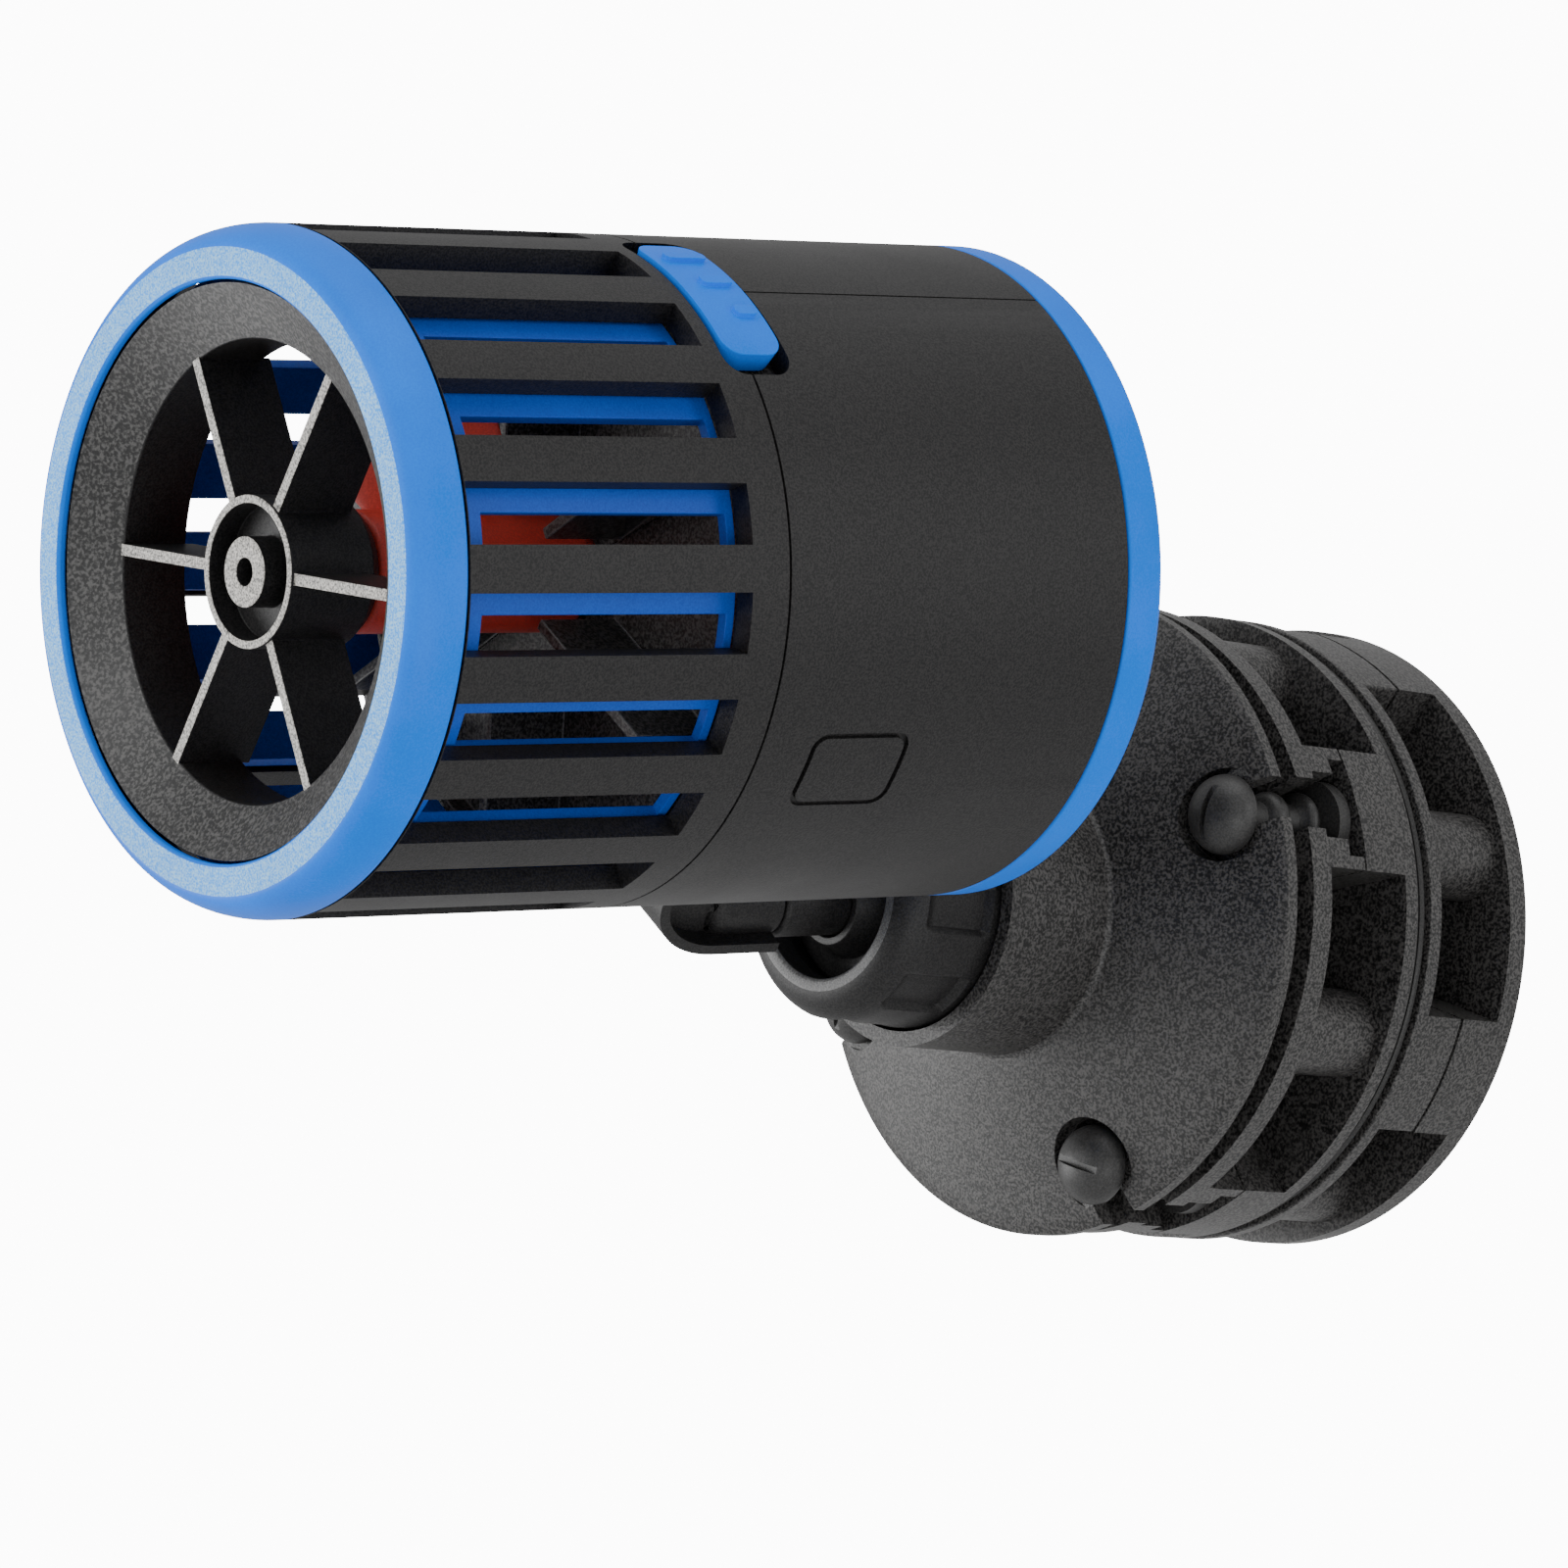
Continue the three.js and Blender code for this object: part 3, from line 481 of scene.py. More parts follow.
def nozzle_guard():
    """Dished face, outlet tube, six thin spokes and the bearing hub."""
    mouth, depth, tube_end, wall = 24.7, 4.5, 12.5, 1.6
    hub, hub_from, hub_end, recess = 8.2, 3.9, 16.0, 6.9
    boss, boss_from, bore, bush_r, bush_from = 3.8, 3.5, 1.5, 3.3, 9.7
    spoke_from, spoke_end = 4.3, 13.6
    face = lathe(
        [
            (mouth, depth), (guard_top, 0.9), (guard_top, 2.6), (mouth + wall, depth + wall),
            (mouth + wall, tube_end), (mouth, tube_end),
        ],
        192,
    )
    bevelled(face, 0.15)
    obj = lathe(
        [
            (bore, boss_from), (boss, boss_from), (boss, recess), (hub - 0.9, recess),
            (hub - 0.9, hub_from), (hub, hub_from), (hub, hub_end - 1.5), (hub - 1.2, hub_end),
            (bush_r, hub_end), (bush_r, bush_from), (bore, bush_from),
        ],
        96,
    )
    spokes = []
    for k in range(SPOKES):
        plate = box(-SPOKE_T / 2, SPOKE_T / 2, spoke_from, spoke_end, hub - 0.5, mouth + 0.3)
        spokes.append(placed(plate, deg=360 * k / SPOKES))
    join(obj, *spokes)
    bevelled(obj, 0.14)
    gather(obj, face)

    # Spoke and boss faces that look forward take slot 1, a painted highlight.
    def pick(centre, radius, normal):
        on_spoke = hub - 1 < radius < mouth + 0.4 and centre.y < spoke_from + 0.1
        on_boss = radius < boss and centre.y < boss_from + 0.3
        if (on_spoke or on_boss) and normal.y < -0.5:
            return 1
        return 2 if radius > mouth + 0.5 else 0

    paint(obj, (BLACK, EDGE_HIGHLIGHT, SPECKLED), pick)
    piece("nozzle_guard", obj, PUMP, "cage", [], bevel=0)


LATCH_DEG = 32.6
LATCH_MID = cage_end + 1.6
LATCH_LEN = 7.9
LATCH_ROUND = 2.4


def latch_pocket(margin):
    """Cutter for the window of the latch, wider than the slider by its travel."""
    wide = 2 * cage_out * math.sin(math.radians((LATCH_DEG + 7.4) / 2))
    outline = rounded(wide + margin, LATCH_LEN + 1.1 + margin, LATCH_ROUND + 0.2, LATCH_MID)
    return prism(outline, cage_out - 12, cage_out + 2)


def outer_cage():
    """Slotted cage: twenty bars between a front hoop and a rear band."""
    ts = around(SLOTS, 0, BAR_DEG)
    slot_from, slot_end = ring_end + 0.4, screen_end - 0.2
    hoop = cage_out - 1.9

    def in_slot(deg):
        return abs((deg + PITCH / 2) % PITCH - PITCH / 2) > BAR_DEG / 2

    def keep(i, deg, k):
        if k == 0:
            return i == 0
        return not (k == 2 and in_slot(deg))

    ys = [1.8, ring_end + 0.3, slot_from, slot_end, cage_end]
    obj = polar([cage_in, hoop, cage_out], ts, ys, keep)
    cut(obj, latch_pocket(0))
    piece("outer_cage", obj, PUMP, "cage", [BLACK], bevel=0.22)


def inner_screen():
    """Thin blue screen behind the bars."""
    ts = around(SLOTS, RIB_SHIFT, RIB_DEG)

    def keep(_, deg, k):
        off = abs((deg - RIB_SHIFT + PITCH / 2) % PITCH - PITCH / 2)
        return k != 1 or off < RIB_DEG / 2

    ys = [screen_from, screen_from + 3.4, screen_end - 1.1, screen_end]
    obj = polar([screen_in, screen_out], ts, ys, keep)
    piece("inner_screen", obj, PUMP, "cage", [SCREEN], bevel=0.12)


# ---- pump head: housing, latch, keel, rear ------------------------------------------------
STEM_OUT = (PUMP.inverted() @ BALL_AT).z / MM
BALL_BACK = (PUMP.inverted() @ BALL_AT).y / MM
KEEL_T = 10.6
KEEL_LEN = 20.0
KEEL_RIM = 3.6
SOCKET_R = 4.0
SOCKET_LEN = 10.6
HEX_BORE = 6.0  # across its flats
BADGE = (9.6, 13.4, 2.0)  # width, length and corner of the blank badge
BADGE_GROOVE = 0.6


def keel():
    """Flat keel under the housing that carries the stem socket, relieved on both sides."""
    end, start = house_end, house_end - KEEL_LEN
    bottom = STEM_OUT - KEEL_RIM
    top = -cage_in - 1.2

    def outline(inset):
        corner = arc((start + 10.5, bottom + 8), (10.5 - inset, 8 - inset), 180, 270, 16)
        points = [(end, top), (start + inset, top), *corner, (end, bottom + inset)]
        return [(-z, y) for y, z in points]

    side = Matrix.Rotation(math.pi / 2, 4, "Y")
    plate = prism(outline(0), -KEEL_T / 2, KEEL_T / 2)
    plate.data.transform(side)
    tube_profile = [(0, end - SOCKET_LEN)]
    tube_profile += arc((0, end - SOCKET_LEN + 2.5), (SOCKET_R, 2.5), -80, 0, 8)
    tube_profile += [(SOCKET_R, end), (0, end)]
    for sign in (-1, 1):
        inner = sign * (KEEL_T / 2 - 2.8)
        low, high = sorted((inner, sign * (KEEL_T / 2 + 1)))
        recess = prism(outline(1.3), low, high)
        recess.data.transform(side)
        cut(plate, recess)
    tube = lathe(tube_profile, 64)
    tube.data.transform(Matrix.Translation((0, 0, STEM_OUT)))
    trim = box(-20, 20, end - 60, end + 0.001, bottom, bottom + 60)
    return boolean(join(plate, tube), [trim], "INTERSECT")


def housing():
    """The two halves of the motor housing, met at a fine seam, with a blank badge groove."""
    ts = span(0, 360, 2.4) + [360]
    whole = polar([cage_in, cage_out], ts, [cage_end + GAP, house_end], lambda *_: True)
    join(whole, keel())
    badge_mid = cage_end + 13.8
    wide, long, corner = BADGE
    groove = prism(rounded(wide, long, corner, badge_mid), cage_out - 0.7, cage_out + 2)
    island = rounded(wide - 2 * BADGE_GROOVE, long - 2 * BADGE_GROOVE, corner - 0.5, badge_mid)
    cut(groove, prism(island, cage_out - 2, cage_out + 3))
    bore = prism(hexagon(HEX_BORE / math.sqrt(3)), house_end - SOCKET_LEN + 0.9, house_end + 1)
    bore.data.transform(Matrix.Translation((0, 0, STEM_OUT)) @ Matrix.Rotation(-math.pi / 2, 4, "X"))
    cut(whole, latch_pocket(0), placed(groove, deg=90), bore)
    for name, sign in (("housing_right", 1), ("housing_left", -1)):
        half = whole.copy()
        half.data = whole.data.copy()
        bpy.context.scene.collection.objects.link(half)
        near, far = sorted((sign * GAP / 2.6, sign * 80))
        boolean(half, [box(near, far, -10, 200, -80, 80)], "INTERSECT")
        piece(name, half, PUMP, "head", [BLACK], bevel=0.2)
    bpy.data.objects.remove(whole)


def latch():
    """Blue slider with three raised grip ribs, wrapped round the head."""
    wide = 2 * math.radians(LATCH_DEG / 2) * cage_out
    low, high = cage_out - 2.4, cage_out + 0.35  # the slider stands proud of the cage
    obj = prism(rounded(wide, LATCH_LEN, LATCH_ROUND, LATCH_MID), low, high)
    ribs = []
    for i, deg in enumerate((-9.8, -1.6, 6.6)):
        length = 5.4 - 1.3 * i
        end = LATCH_MID + LATCH_LEN / 2 - 1
        mid = math.radians(deg) * cage_out
        rib = prism(rounded(1.5, length, 0.6, end - length / 2, 4), high - 0.5, high + 0.55)
        rib.data.transform(Matrix.Translation((mid, 0, 0)))
        ribs.append(rib)
    join(obj, *ribs)
    bevelled(obj, 0.3)
    bent(obj, cage_out)
    piece("latch", obj, PUMP, "latch", [BLUE], bevel=0)


def rear_ring():
    """Blue ring with a rounded rear edge, over the end of the housing."""
    profile = [(rear_in, rear_end - 1), (rear_in, rear_end)]
    profile += arc((rear_out - 2, rear_end - 1.6), (2, 1.6), 90, 0, 10)
    profile += [(rear_out, rear_from + 0.2), (rear_out - 0.2, rear_from), (rear_in + 1.8, rear_from)]
    profile += [(rear_in + 1.8, rear_end - 1.4)]
    obj = lathe(profile, 192)
    piece("rear_ring", obj, PUMP, "head", [BLUE], bevel=0.12)


SCREWS = 3
SCREW_AT = 26  # screws' distance from the pump axis
SCREW_DEG = 60  # first screw


def rear_cap():
    """Screwed cover with a raised rim, a shallow dish and the hole of the cable gland."""
    _, cap_r, cap_from, cap_end = measure("rear_cap", PUMP)
    gland_r = measure("cable_gland", PUMP)[0] + 1.6
    profile = [(0, cap_end - 3.5), (cap_r - 2.4, cap_end - 3.5), (cap_r - 2.4, cap_from)]
    profile += [(cap_r, cap_from), (cap_r, cap_end), (cap_r - 3, cap_end), (cap_r - 4.2, cap_end - 0.5)]
    profile += [(12.5, cap_end - 0.5), (11.5, cap_end), (0, cap_end)]
    obj = lathe(profile, 160)
    holes = [rod(gland_r, cap_end - 6, cap_end + 1)]
    for k in range(SCREWS):
        deg = SCREW_DEG + 360 / SCREWS * k
        holes.append(placed(rod(1.5, cap_end - 6, cap_end + 1, 32), SCREW_AT, deg))
        holes.append(placed(rod(3.0, cap_end - 1.6, cap_end + 1, 40), SCREW_AT, deg))
    cut(obj, *holes)
    piece("rear_cap", obj, PUMP, "head", [BLACK], bevel=0.2)


def cap_screws():
    """Countersunk cross-slotted screws."""
    cap_end = measure("rear_cap", PUMP)[3]
    for k in range(SCREWS):
        head_at = cap_end - 0.2
        profile = [(0, head_at - 6.5), (1.2, head_at - 6.5), (1.2, head_at - 1.1), (2.6, head_at - 1.1)]
        profile += arc((1.9, head_at - 0.5), (0.7, 0.5), 0, 90, 5)
        profile += [(0, head_at)]
        obj = lathe(profile, 48)
        for turn in (30, 120):
            slot_cut = box(-1.5, 1.5, head_at - 0.6, head_at + 1, -0.3, 0.3)
            cut(obj, placed(slot_cut, deg=turn))
        placed(obj, SCREW_AT, SCREW_DEG + 360 / SCREWS * k)
        name = f"cap_screw_{k + 1}"
        piece(name, obj, PUMP, "head", [STEEL], bevel=0.06)


def cable_gland():
    """Tapered rubber gland with shallow bending rings."""
    bore, _, gland_from, gland_end = measure("cable_gland", PUMP)
    flange = gland_from + 3.3
    profile = [(bore, gland_from), (bore + 1.3, gland_from), (bore + 1.3, flange)]
    profile += [(bore + 3.5, flange), (bore + 3.5, flange + 1.0)]
    profile += arc((bore + 2.9, flange + 1.0), (0.6, 0.5), 0, 90, 4)
    taper_from, taper = flange + 2.3, gland_end - flange - 2.3
    for i in range(9):
        t = i / 8
        groove = 0.28 if i % 2 else 0.0
        profile.append((bore + 1.9 - t * 1.0 - groove, taper_from + t * taper))
    profile.append((bore, gland_end))
    obj = lathe(profile, 96)
    piece("cable_gland", obj, PUMP, "head", [RUBBER], bevel=0.08)


# ---- pump head: bulkhead and propeller ---------------------------------------------------
PROP_HUB_R = 6.7
PROP_FROM = 16.6
PROP_END = 45.2
BLADES = 2
BLADE_AT = 27.3  # middle of the blades
BLADE_DEG = 143  # first blade
WALL_AT = PROP_END + 1.2  # bulkhead
VANE_LEN = 10.0
VANE_T = 1.3


def motor_frame():
    """Bulkhead cup with six stiffening vanes behind the propeller."""
    _, frame_r, _, frame_end = measure("motor_frame", PUMP)
    neck = 5.3
    profile = [(neck, WALL_AT + 0.3), (neck + 0.3, WALL_AT), (frame_r - 2, WALL_AT)]
    profile += [(frame_r - 2, screen_end + 0.6), (frame_r, screen_end + 0.6), (frame_r, frame_end)]
    profile += [(frame_r - 2, frame_end), (frame_r - 2, WALL_AT + 3), (neck, WALL_AT + 3)]
    obj = lathe(profile, 144)
    vanes = []
    for k in range(SPOKES):
        inner, outer = PROP_HUB_R + 3, screen_in - 1.6
        plate = box(-VANE_T / 2, VANE_T / 2, WALL_AT - VANE_LEN, WALL_AT + 0.5, inner, outer)
        vanes.append(placed(plate, deg=360 * k / SPOKES + 30))
    join(obj, *vanes)
    # The bevelled edges take slot 1, a painted highlight lighter than the charcoal.
    both = [CHARCOAL, RIM_HIGHLIGHT]
    piece("motor_frame", obj, PUMP, "head", both, bevel=0.2, edge=True)


def blade(hub_r, tip_r, y_mid):
    """One twisted blade with a rounded tip and thin edges."""
    stations, sides = 22, 36
    bm = bmesh.new()
    rings = []
    for s in range(stations + 1):
        k = s / stations
        r = hub_r - 1.5 + (tip_r - hub_r + 1.5) * k
        chord = 6.2 + 2.6 * math.sin(math.pi * min(k * 1.1, 1))
        round_off = math.sqrt(max(1 - max(0, (k - 0.8) / 0.2) ** 2 * 0.75, 0.05))
        thick = 0.95 - 0.35 * k
        pitch = math.radians(28 + 26 * k)
        ring = []
        for j in range(sides):
            t = 2 * math.pi * j / sides
            along = chord * round_off * math.cos(t)
            across = thick * math.sin(t)
            y = y_mid + along * math.cos(pitch) - across * math.sin(pitch)
            angle = (along * math.sin(pitch) + across * math.cos(pitch)) / max(r, 9)
            ring.append(bm.verts.new(at(r, math.degrees(angle), y)))
        rings.append(ring)
    for low, high in zip(rings, rings[1:]):
        for j in range(sides):
            n = (j + 1) % sides
            bm.faces.new((low[j], low[n], high[n], high[j]))
    bm.faces.new(rings[0])
    bm.faces.new(rings[-1])
    return to_object(bm)


def propeller():
    """Hub with rounded ends, a neck that runs into the motor, and the blades."""
    _, tip_r, _, neck_end = measure("propeller", PUMP)
    neck, bore = 4.6, 1.8
    profile = [(bore, PROP_FROM), (PROP_HUB_R - 0.8, PROP_FROM)]
    profile += arc((PROP_HUB_R - 0.8, PROP_FROM + 0.8), (0.8, 0.8), -80, 0, 6)
    profile += arc((PROP_HUB_R - 1.2, PROP_END - 1.4), (1.2, 1.4), 0, 90, 8)
    profile += [(neck, PROP_END), (neck, neck_end), (bore, neck_end)]
    hub = lathe(profile, 96)
    blades = []
    for k in range(BLADES):
        blades.append(placed(blade(PROP_HUB_R, tip_r, BLADE_AT), deg=360 * k / BLADES + BLADE_DEG))
    obj = join(hub, *blades)
    piece("propeller", obj, PUMP, "impeller", [RED], bevel=0.15)


# ---- stem, ball and lock nut --------------------------------------------------------------
STEM_R = 4.43
HEX_AF = 5.4  # stem tip across its flats


def stem():
    """Round stem with a hexagonal tip."""
    _, _, tip, inner = measure("stem", STEM)
    neck = house_end + GAP - BALL_BACK
    profile = [(0, neck), (STEM_R - 0.4, neck), (STEM_R, neck + 0.4), (STEM_R, inner), (0, inner)]
    obj = lathe(profile, 72)
    tip_body = prism(hexagon(HEX_AF / math.sqrt(3)), tip, neck + 1)
    tip_body.data.transform(Matrix.Rotation(-math.pi / 2, 4, "X"))
    join(obj, tip_body)
    piece("stem", obj, STEM, "head", [BLACK], bevel=0.15)


def swivel_ball():
    """Ball with a conical flare round the stem."""
    ball_r, flat, r = 11.0, 3.4, STEM_R + GAP
    edge = math.degrees(math.asin(flat / ball_r))
    profile = [(r, -flat - 3.4), (r + 0.9, -flat - 3.4)]
    profile += [(r + 1.3, -flat - 2.2), (r + 2.6, -flat - 0.2), (r + 3.4, -flat)]
    profile += arc((0, 0), (ball_r, ball_r), -edge, 82, 30)
    profile += [(0, ball_r - 0.1), (0, 4.7), (r, 4.7)]
    obj = lathe(profile, 128)
    piece("swivel_ball", obj, STEM, "ball", [BLACK], bevel=0.12)


def lock_nut():
    """Domed nut with eight shallow moulded flutes and a painted highlight round its mouth."""
    _, nut_r, nut_from, nut_end = measure("lock_nut", MOUNT)
    ball_h = -BALL_AT.y / MM
    shoulder = nut_end - 4.6
    cup = 11.3
    mouth = 10.3
    bore = 12.8
    flute_deg = 180 / 8  # half of the turn from one flute to the next
    collar_end = measure("front_plate", MOUNT)[3]
    low, high = collar_end + 0.6, shoulder + 1.4

    def flute(r, y, deg):
        if r < nut_r - 2.6 or y < collar_end - 0.5:
            return 0
        off = abs((deg + flute_deg) % (2 * flute_deg) - flute_deg)
        side = 1 - smooth_step(off, flute_deg / 2 - 1.6, flute_deg / 2 + 0.8)
        length = smooth_step(y, low, low + 0.5) * (1 - smooth_step(y, high - 0.9, high + 0.5))
        return -1.05 * side * length

    outer = [(nut_r, nut_from)]
    steps = 34
    outer += [(nut_r, nut_from + (shoulder - nut_from) * (i + 1) / steps) for i in range(steps)]
    outer += arc((nut_r - 4, shoulder), (4, nut_end - shoulder), 8, 88, 16)
    lip = arc((mouth + 0.5, nut_end - 0.5), (0.5, 0.5), 90, 180, 5)
    mouth_deg = math.degrees(math.acos(mouth / cup))
    inner = arc((0, ball_h), (cup, cup), mouth_deg, 1, 10)
    profile = [(bore, nut_from)] + outer + lip + inner + [(bore, ball_h - 0.3)]
    obj = lathe(profile, 288, flute)

    # The mouth rim takes slot 1, a painted highlight.
    def pick(centre, radius, _):
        return int(centre.y > nut_end - 0.35 and radius < mouth + 1.6)

    paint(obj, (BLACK, RIM_HIGHLIGHT), pick)
    piece("lock_nut", obj, MOUNT, "lock_nut", [], bevel=0)


# ---- magnetic mount -----------------------------------------------------------------------
BLOCK_DEG = 23.4
DRUM_R = 20.5
POST_R = 5.3
POST_AT = 31.7
DAMPER_AT = 32.4
DAMPER_DEG = 26.0  # first damper
DRY_DEG = 67.7  # first block of the outer holder
COLLAR_R = 17.55
PLATE_RISE = 7.5  # rise of the cone from its rim to the collar
KEYHOLE_DEPTH = 1.5


def holder(name, body, first):
    """Two half shells between flanges: drum, blocks at the seam and posts in the windows."""
    rear, front = name + "_shell_rear", name + "_shell_front"
    _, mount_r, y0, post_end = measure(rear, MOUNT)
    _, _, seam, y1 = measure(front, MOUNT)
    top = post_end + GAP
    bottom = y0 + (2.9 if name == "dry" else 2.0)
    ts = around(4, first, BLOCK_DEG)
    rs = [0, DRUM_R - 2.6, DRUM_R, mount_r - 0.5, mount_r]

    def solid_at(i, deg):
        block = abs((deg - first + 45) % 90 - 45) < BLOCK_DEG / 2
        return i == 1 or (i > 1 and block)

    def keep_rear(i, deg, k):
        return k == 0 or solid_at(i, deg)

    def keep_front(i, deg, k):
        return k == 1 or solid_at(i, deg)

    lower = polar(rs, ts, [y0, bottom, seam - GAP], keep_rear)
    posts = []
    for k in range(4):
        post = rod(POST_R, bottom - 0.5, post_end, 72)
        posts.append(placed(post, POST_AT, first + 45 + 90 * k))
    join(lower, *posts)
    upper = polar(rs, ts, [seam, top, y1], keep_front)
    if name == "wet":
        cut(upper, *damper_notches(seam, top, y1, mount_r))
    for node, obj in ((rear, lower), (front, upper)):
        piece(node, obj, MOUNT, body, [CHARCOAL], bevel=0.24)


def slot_cutter(wide, y0, y1, reach, deg):
    """Round-ended slot that runs outward from the damper's axis."""
    outline = arc((0, 0), (wide / 2, wide / 2), 180, 360, 20)
    outline += [(wide / 2, reach), (-wide / 2, reach)]
    obj = prism(outline, y0, y1)
    flat = Matrix(((1, 0, 0, 0), (0, 0, 1, 0), (0, 1, 0, 0), (0, 0, 0, 1)))
    obj.data.transform(flat)
    obj.data.flip_normals()
    return placed(obj, DAMPER_AT, deg)


def damper_notches(seam, top, y1, mount_r):
    """Cutters for the foot, the waist and the neck of each damper."""
    foot = seam + 2.5
    reach = mount_r - DAMPER_AT + 1
    cutters = []
    for k in range(4):
        deg = DAMPER_DEG + 90 * k
        cutters.append(slot_cutter(12.4, seam - 0.5, foot, reach, deg))
        cutters.append(slot_cutter(8.4, foot - 0.1, top + 0.1, reach, deg))
        cutters.append(slot_cutter(6.4, top - 0.2, y1 + 1, reach, deg))
    return cutters


def plate_cone():
    """Heights of the front plate's cone: rim bottom, rim top, and its slope."""
    _, plate_r, rim_from, collar_end = measure("front_plate", MOUNT)
    rim_top = rim_from + 2.1
    rise = PLATE_RISE / (plate_r - COLLAR_R)
    return plate_r, rim_from, rim_top, rise, collar_end


def front_plate():
    """Shallow cone with a collar and four keyholes for the dampers."""
    plate_r, rim_from, rim_top, rise, collar_end = plate_cone()
    bore_r = 15.75
    collar_from = rim_top + PLATE_RISE
    floor_top = collar_from + 2.5

    def top(r):
        return rim_top + (plate_r - 0.6 - r) * rise

    steps = 14
    cone = [(plate_r - 0.8 - (plate_r - 0.8 - COLLAR_R - 0.9) * i / steps) for i in range(steps + 1)]
    profile = [(0, top(COLLAR_R - 2) - 2.3), (COLLAR_R - 2, top(COLLAR_R - 2) - 2.3)]
    profile += [(plate_r - 1.6, rim_from), (plate_r, rim_from), (plate_r, rim_top - 0.5)]
    profile += [(r, top(r)) for r in cone]
    profile += arc((COLLAR_R + 0.9, top(COLLAR_R + 0.9) + 0.9), (0.9, 0.9), 250, 180, 4)
    profile += [(COLLAR_R, collar_end), (bore_r, collar_end), (bore_r, floor_top), (0, floor_top)]
    obj = lathe(profile, 192)
    ledge = top(DAMPER_AT) - KEYHOLE_DEPTH
    reach = plate_r - DAMPER_AT + 1
    cutters = []
    for k in range(4):
        deg = DAMPER_DEG + 90 * k
        cutters.append(placed(rod(5.6, ledge, collar_from + 4, 64), DAMPER_AT, deg))
        cutters.append(slot_cutter(5.2, rim_from - 2, collar_from + 4, reach, deg))
    cut(obj, *cutters)
    piece("front_plate", obj, MOUNT, "wet_holder", [CHARCOAL], bevel=0.25)


def dampers():
    """Rubber bobbins: foot, waist, ball and a slotted mushroom head."""
    plate_r, rim_from, rim_top, rise, _ = plate_cone()
    ledge = rim_top + (plate_r - 0.6 - DAMPER_AT) * rise - KEYHOLE_DEPTH
    wet_end = measure("wet_shell_front", MOUNT)[3]
    for k in range(4):
        name = f"damper_{k + 1}"
        foot_from, head_end = measure(name, MOUNT)[2:]
        foot_to = foot_from + 2.2 - GAP
        profile = [(0, foot_from), (5.2, foot_from), (5.2, foot_to), (2.3, foot_to + 0.3)]
        profile += arc((2.2, foot_to + 2.2), (1.4, 1.1), -70, 70, 8)
        profile += [(2.1, foot_to + 3.8), (2.1, wet_end - 2.2)]
        profile += arc((0.4, wet_end + 0.2), (2.9, 2.1), -56, 56, 12)
        profile += [(2.1, rim_from), (2.1, ledge + 0.3)]
        profile += arc((4.1, ledge + 0.9), (0.7, 0.6), -90, 0, 5)
        profile += arc((0, ledge + 1.2), (4.8, head_end - ledge - 1.2), 4, 84, 14)
        profile += [(0, head_end)]
        obj = lathe(profile, 72)
        slot_cut = box(-6, 6, head_end - 0.95, head_end + 2, -0.42, 0.42)
        slot_cut.data.transform(Matrix.Rotation(math.radians(145), 4, "Y"))
        cut(obj, slot_cut)
        placed(obj, DAMPER_AT, DAMPER_DEG + 90 * k)
        piece(name, obj, MOUNT, "wet_holder", [RUBBER], bevel=0.12)


def pads():
    """The two rubber discs that touch the glass."""
    round_off = 0.2
    for name, body in (("dry_pad", "dry_holder"), ("wet_pad", "wet_holder")):
        _, pad_r, y0, y1 = measure(name, MOUNT)
        profile = [(0, y0), (pad_r - round_off, y0), (pad_r, y0 + round_off)]
        profile += [(pad_r, y1 - round_off), (pad_r - round_off, y1), (0, y1)]
        piece(name, lathe(profile, 160), MOUNT, body, [RUBBER], bevel=0)


# ---- CAD nodes that stay ------------------------------------------------------------------
def carried_over():
    """Hidden CAD nodes keep their meshes and get the procedural materials."""
    kept = {
        STEEL: ["dry_keeper", "wet_keeper", "stator_core"],
        MAGNET: ["dry_magnet", "wet_magnet", "rotor_magnet"],
        COPPER: [f"stator_coil_{k}" for k in range(1, 7)],
        CERAMIC: ["shaft", "front_bush", "rear_bush"],
        CHARCOAL: ["ball_seat", "motor_can"],
        RUBBER: ["cap_seal"],
    }
    for material, names in kept.items():
        for name in names:
            mesh = frame["nodes"][name].data
            mesh.materials.clear()
            mesh.materials.append(material)


# ---- studio -------------------------------------------------------------------------------
def area_light(name, location, target, size, power):
    """Soft box at a place, aimed at a target."""
    light = bpy.data.lights.new(name, "AREA")
    light.shape = "RECTANGLE"
    light.size, light.size_y = size
    light.energy = power
    obj = bpy.data.objects.new(name, light)
    obj.location = location
    direction = Vector(target) - Vector(location)
    obj.rotation_euler = direction.to_track_quat("-Z", "Y").to_euler()
    bpy.context.scene.collection.objects.link(obj)


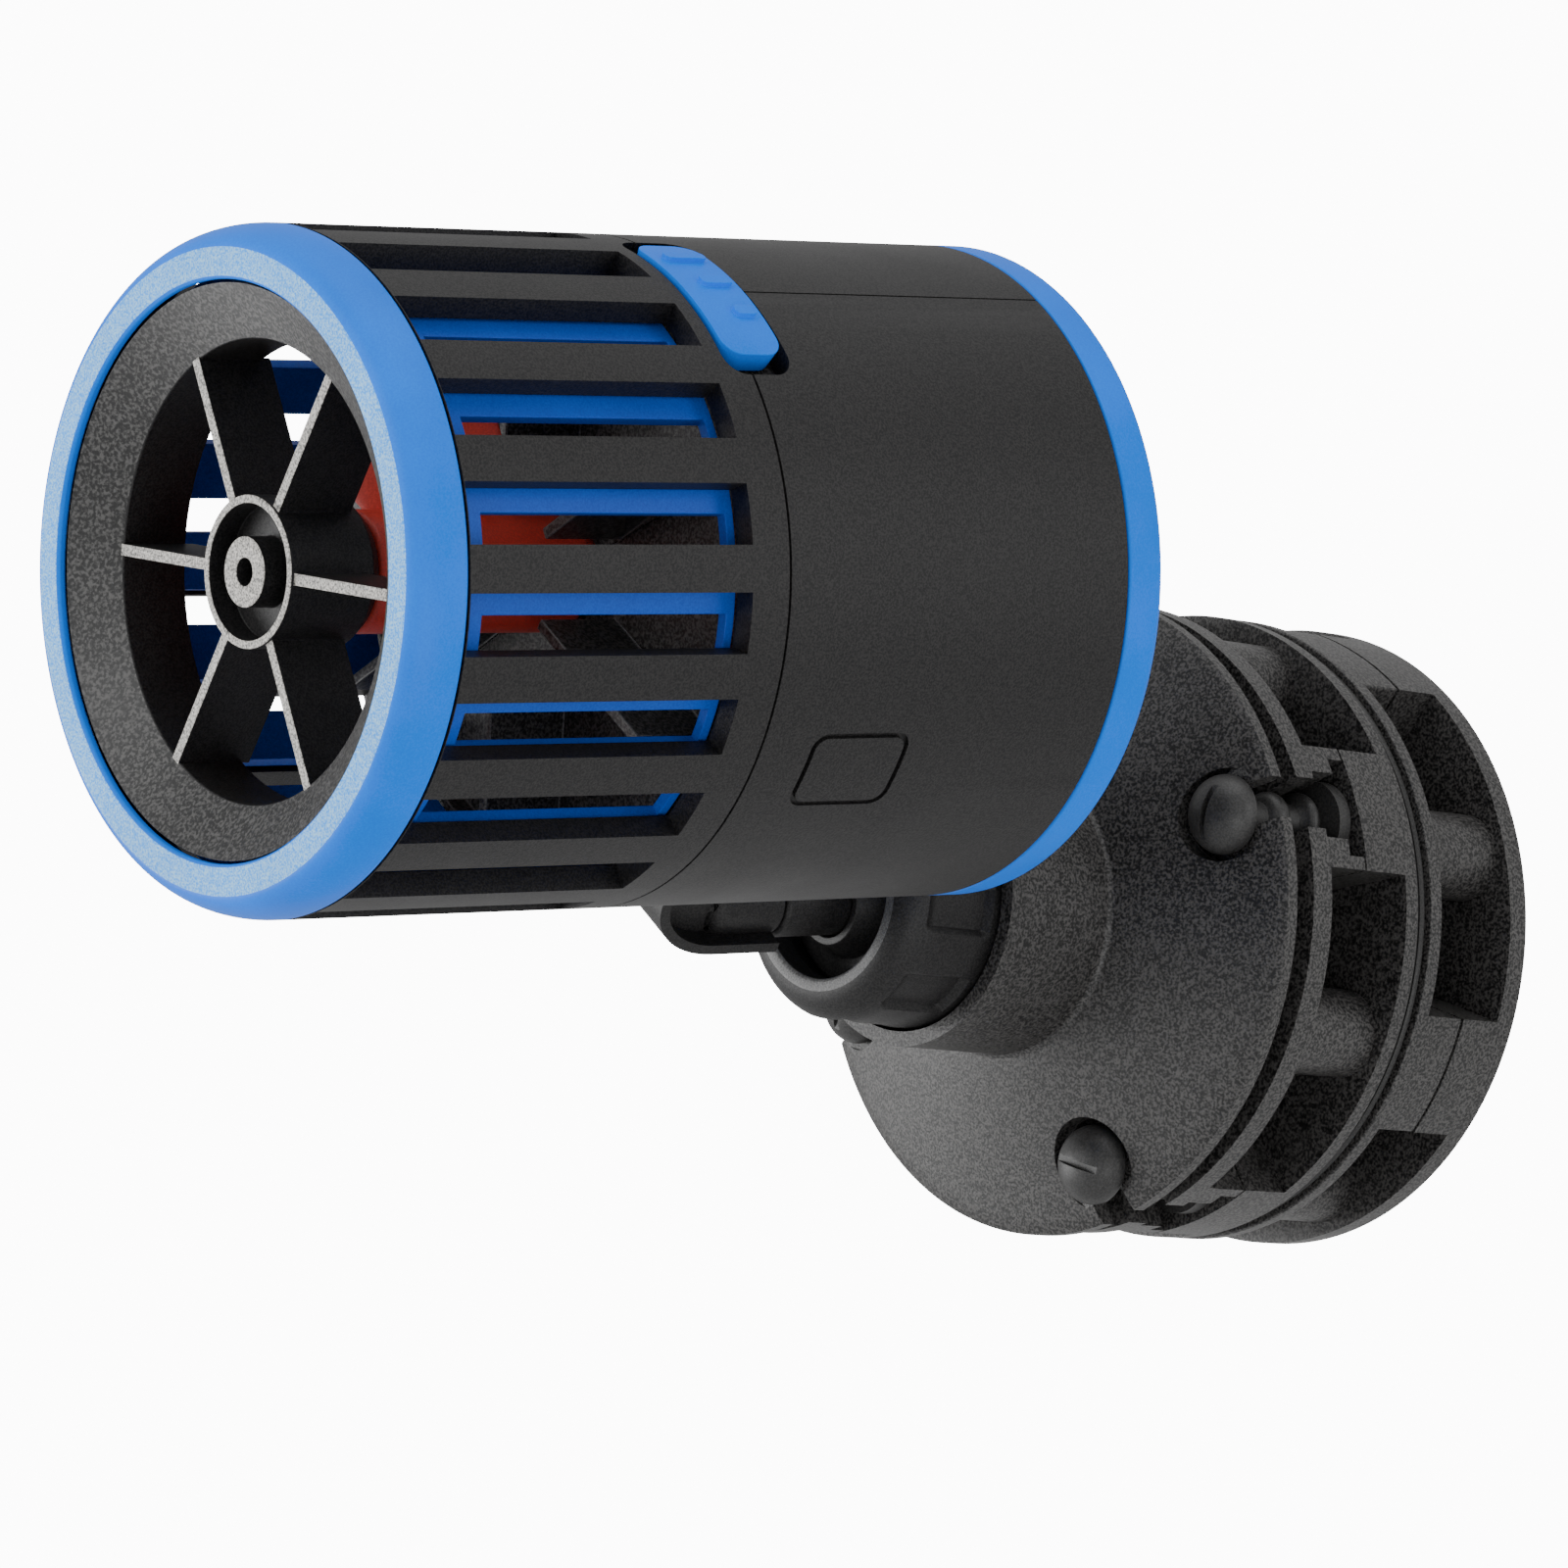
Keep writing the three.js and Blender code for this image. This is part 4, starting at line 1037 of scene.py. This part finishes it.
def studio():
    """Camera at the photographed angle, pale floor, white surround and soft boxes."""
    heading, roll = math.radians(46.85), math.radians(6.42)
    camera = bpy.data.cameras.new("camera")
    camera.sensor_width = 36
    camera.lens = 165.6
    camera.clip_start = 0.01
    camera_obj = bpy.data.objects.new("camera", camera)
    level = Matrix.Rotation(heading, 4, "Z") @ Matrix.Rotation(math.pi / 2, 4, "X")
    position = Matrix.Translation((0.6148, -0.66606, 0.01197))
    camera_obj.matrix_world = position @ level @ Matrix.Rotation(roll, 4, "Z")
    bpy.context.scene.collection.objects.link(camera_obj)
    bpy.context.scene.camera = camera_obj

    bm = bmesh.new()
    depth = cad_box[0][2] - 0.12
    floor_r, steps = 0.4, 96
    rim = [2 * math.pi * k / steps for k in range(steps)]
    bm.faces.new([bm.verts.new((floor_r * math.cos(t), floor_r * math.sin(t), depth)) for t in rim])
    floor = to_object(bm)
    floor.name = "floor"
    floor.data.materials.append(
        moulded("floor_paper", (0.86, 0.86, 0.86), (0.90, 0.90, 0.90), 0.8, grain=900, relief=0.02)
    )

    world = bpy.data.worlds.new("surround")
    world.use_nodes = True
    nodes, links = world.node_tree.nodes, world.node_tree.links
    ambient = nodes["Background"]
    ambient.inputs["Color"].default_value = (1, 1, 1, 1)
    ambient.inputs["Strength"].default_value = 0.68
    backdrop = nodes.new("ShaderNodeBackground")
    backdrop.inputs["Color"].default_value = (1, 1, 1, 1)
    backdrop.inputs["Strength"].default_value = 12.0
    seen = nodes.new("ShaderNodeMixShader")
    links.new(nodes.new("ShaderNodeLightPath").outputs["Is Camera Ray"], seen.inputs["Fac"])
    links.new(ambient.outputs["Background"], seen.inputs[1])
    links.new(backdrop.outputs["Background"], seen.inputs[2])
    links.new(seen.outputs["Shader"], nodes["World Output"].inputs["Surface"])
    bpy.context.scene.world = world
    centre = (0.01, -0.11, 0.02)
    area_light("front_left", (-0.15, -0.9, 0.25), centre, (0.35, 0.6), 3)
    area_light("low_left", (-0.75, -0.6, -0.25), centre, (0.6, 0.6), 7.5)
    area_light("low_right", (0.75, -0.45, -0.3), centre, (0.5, 0.5), 2.5)
    area_light("top", (0.1, -0.2, 0.9), centre, (0.9, 0.7), 3)
    area_light("right", (0.9, 0.25, 0.25), centre, (0.3, 0.8), 2)


front_ring()
nozzle_guard()
outer_cage()
inner_screen()
housing()
latch()
rear_ring()
rear_cap()
cap_screws()
cable_gland()
motor_frame()
propeller()
stem()
swivel_ball()
lock_nut()
holder("dry", "dry_holder", DRY_DEG)
holder("wet", "wet_holder", DAMPER_DEG)
front_plate()
dampers()
pads()
carried_over()
studio()
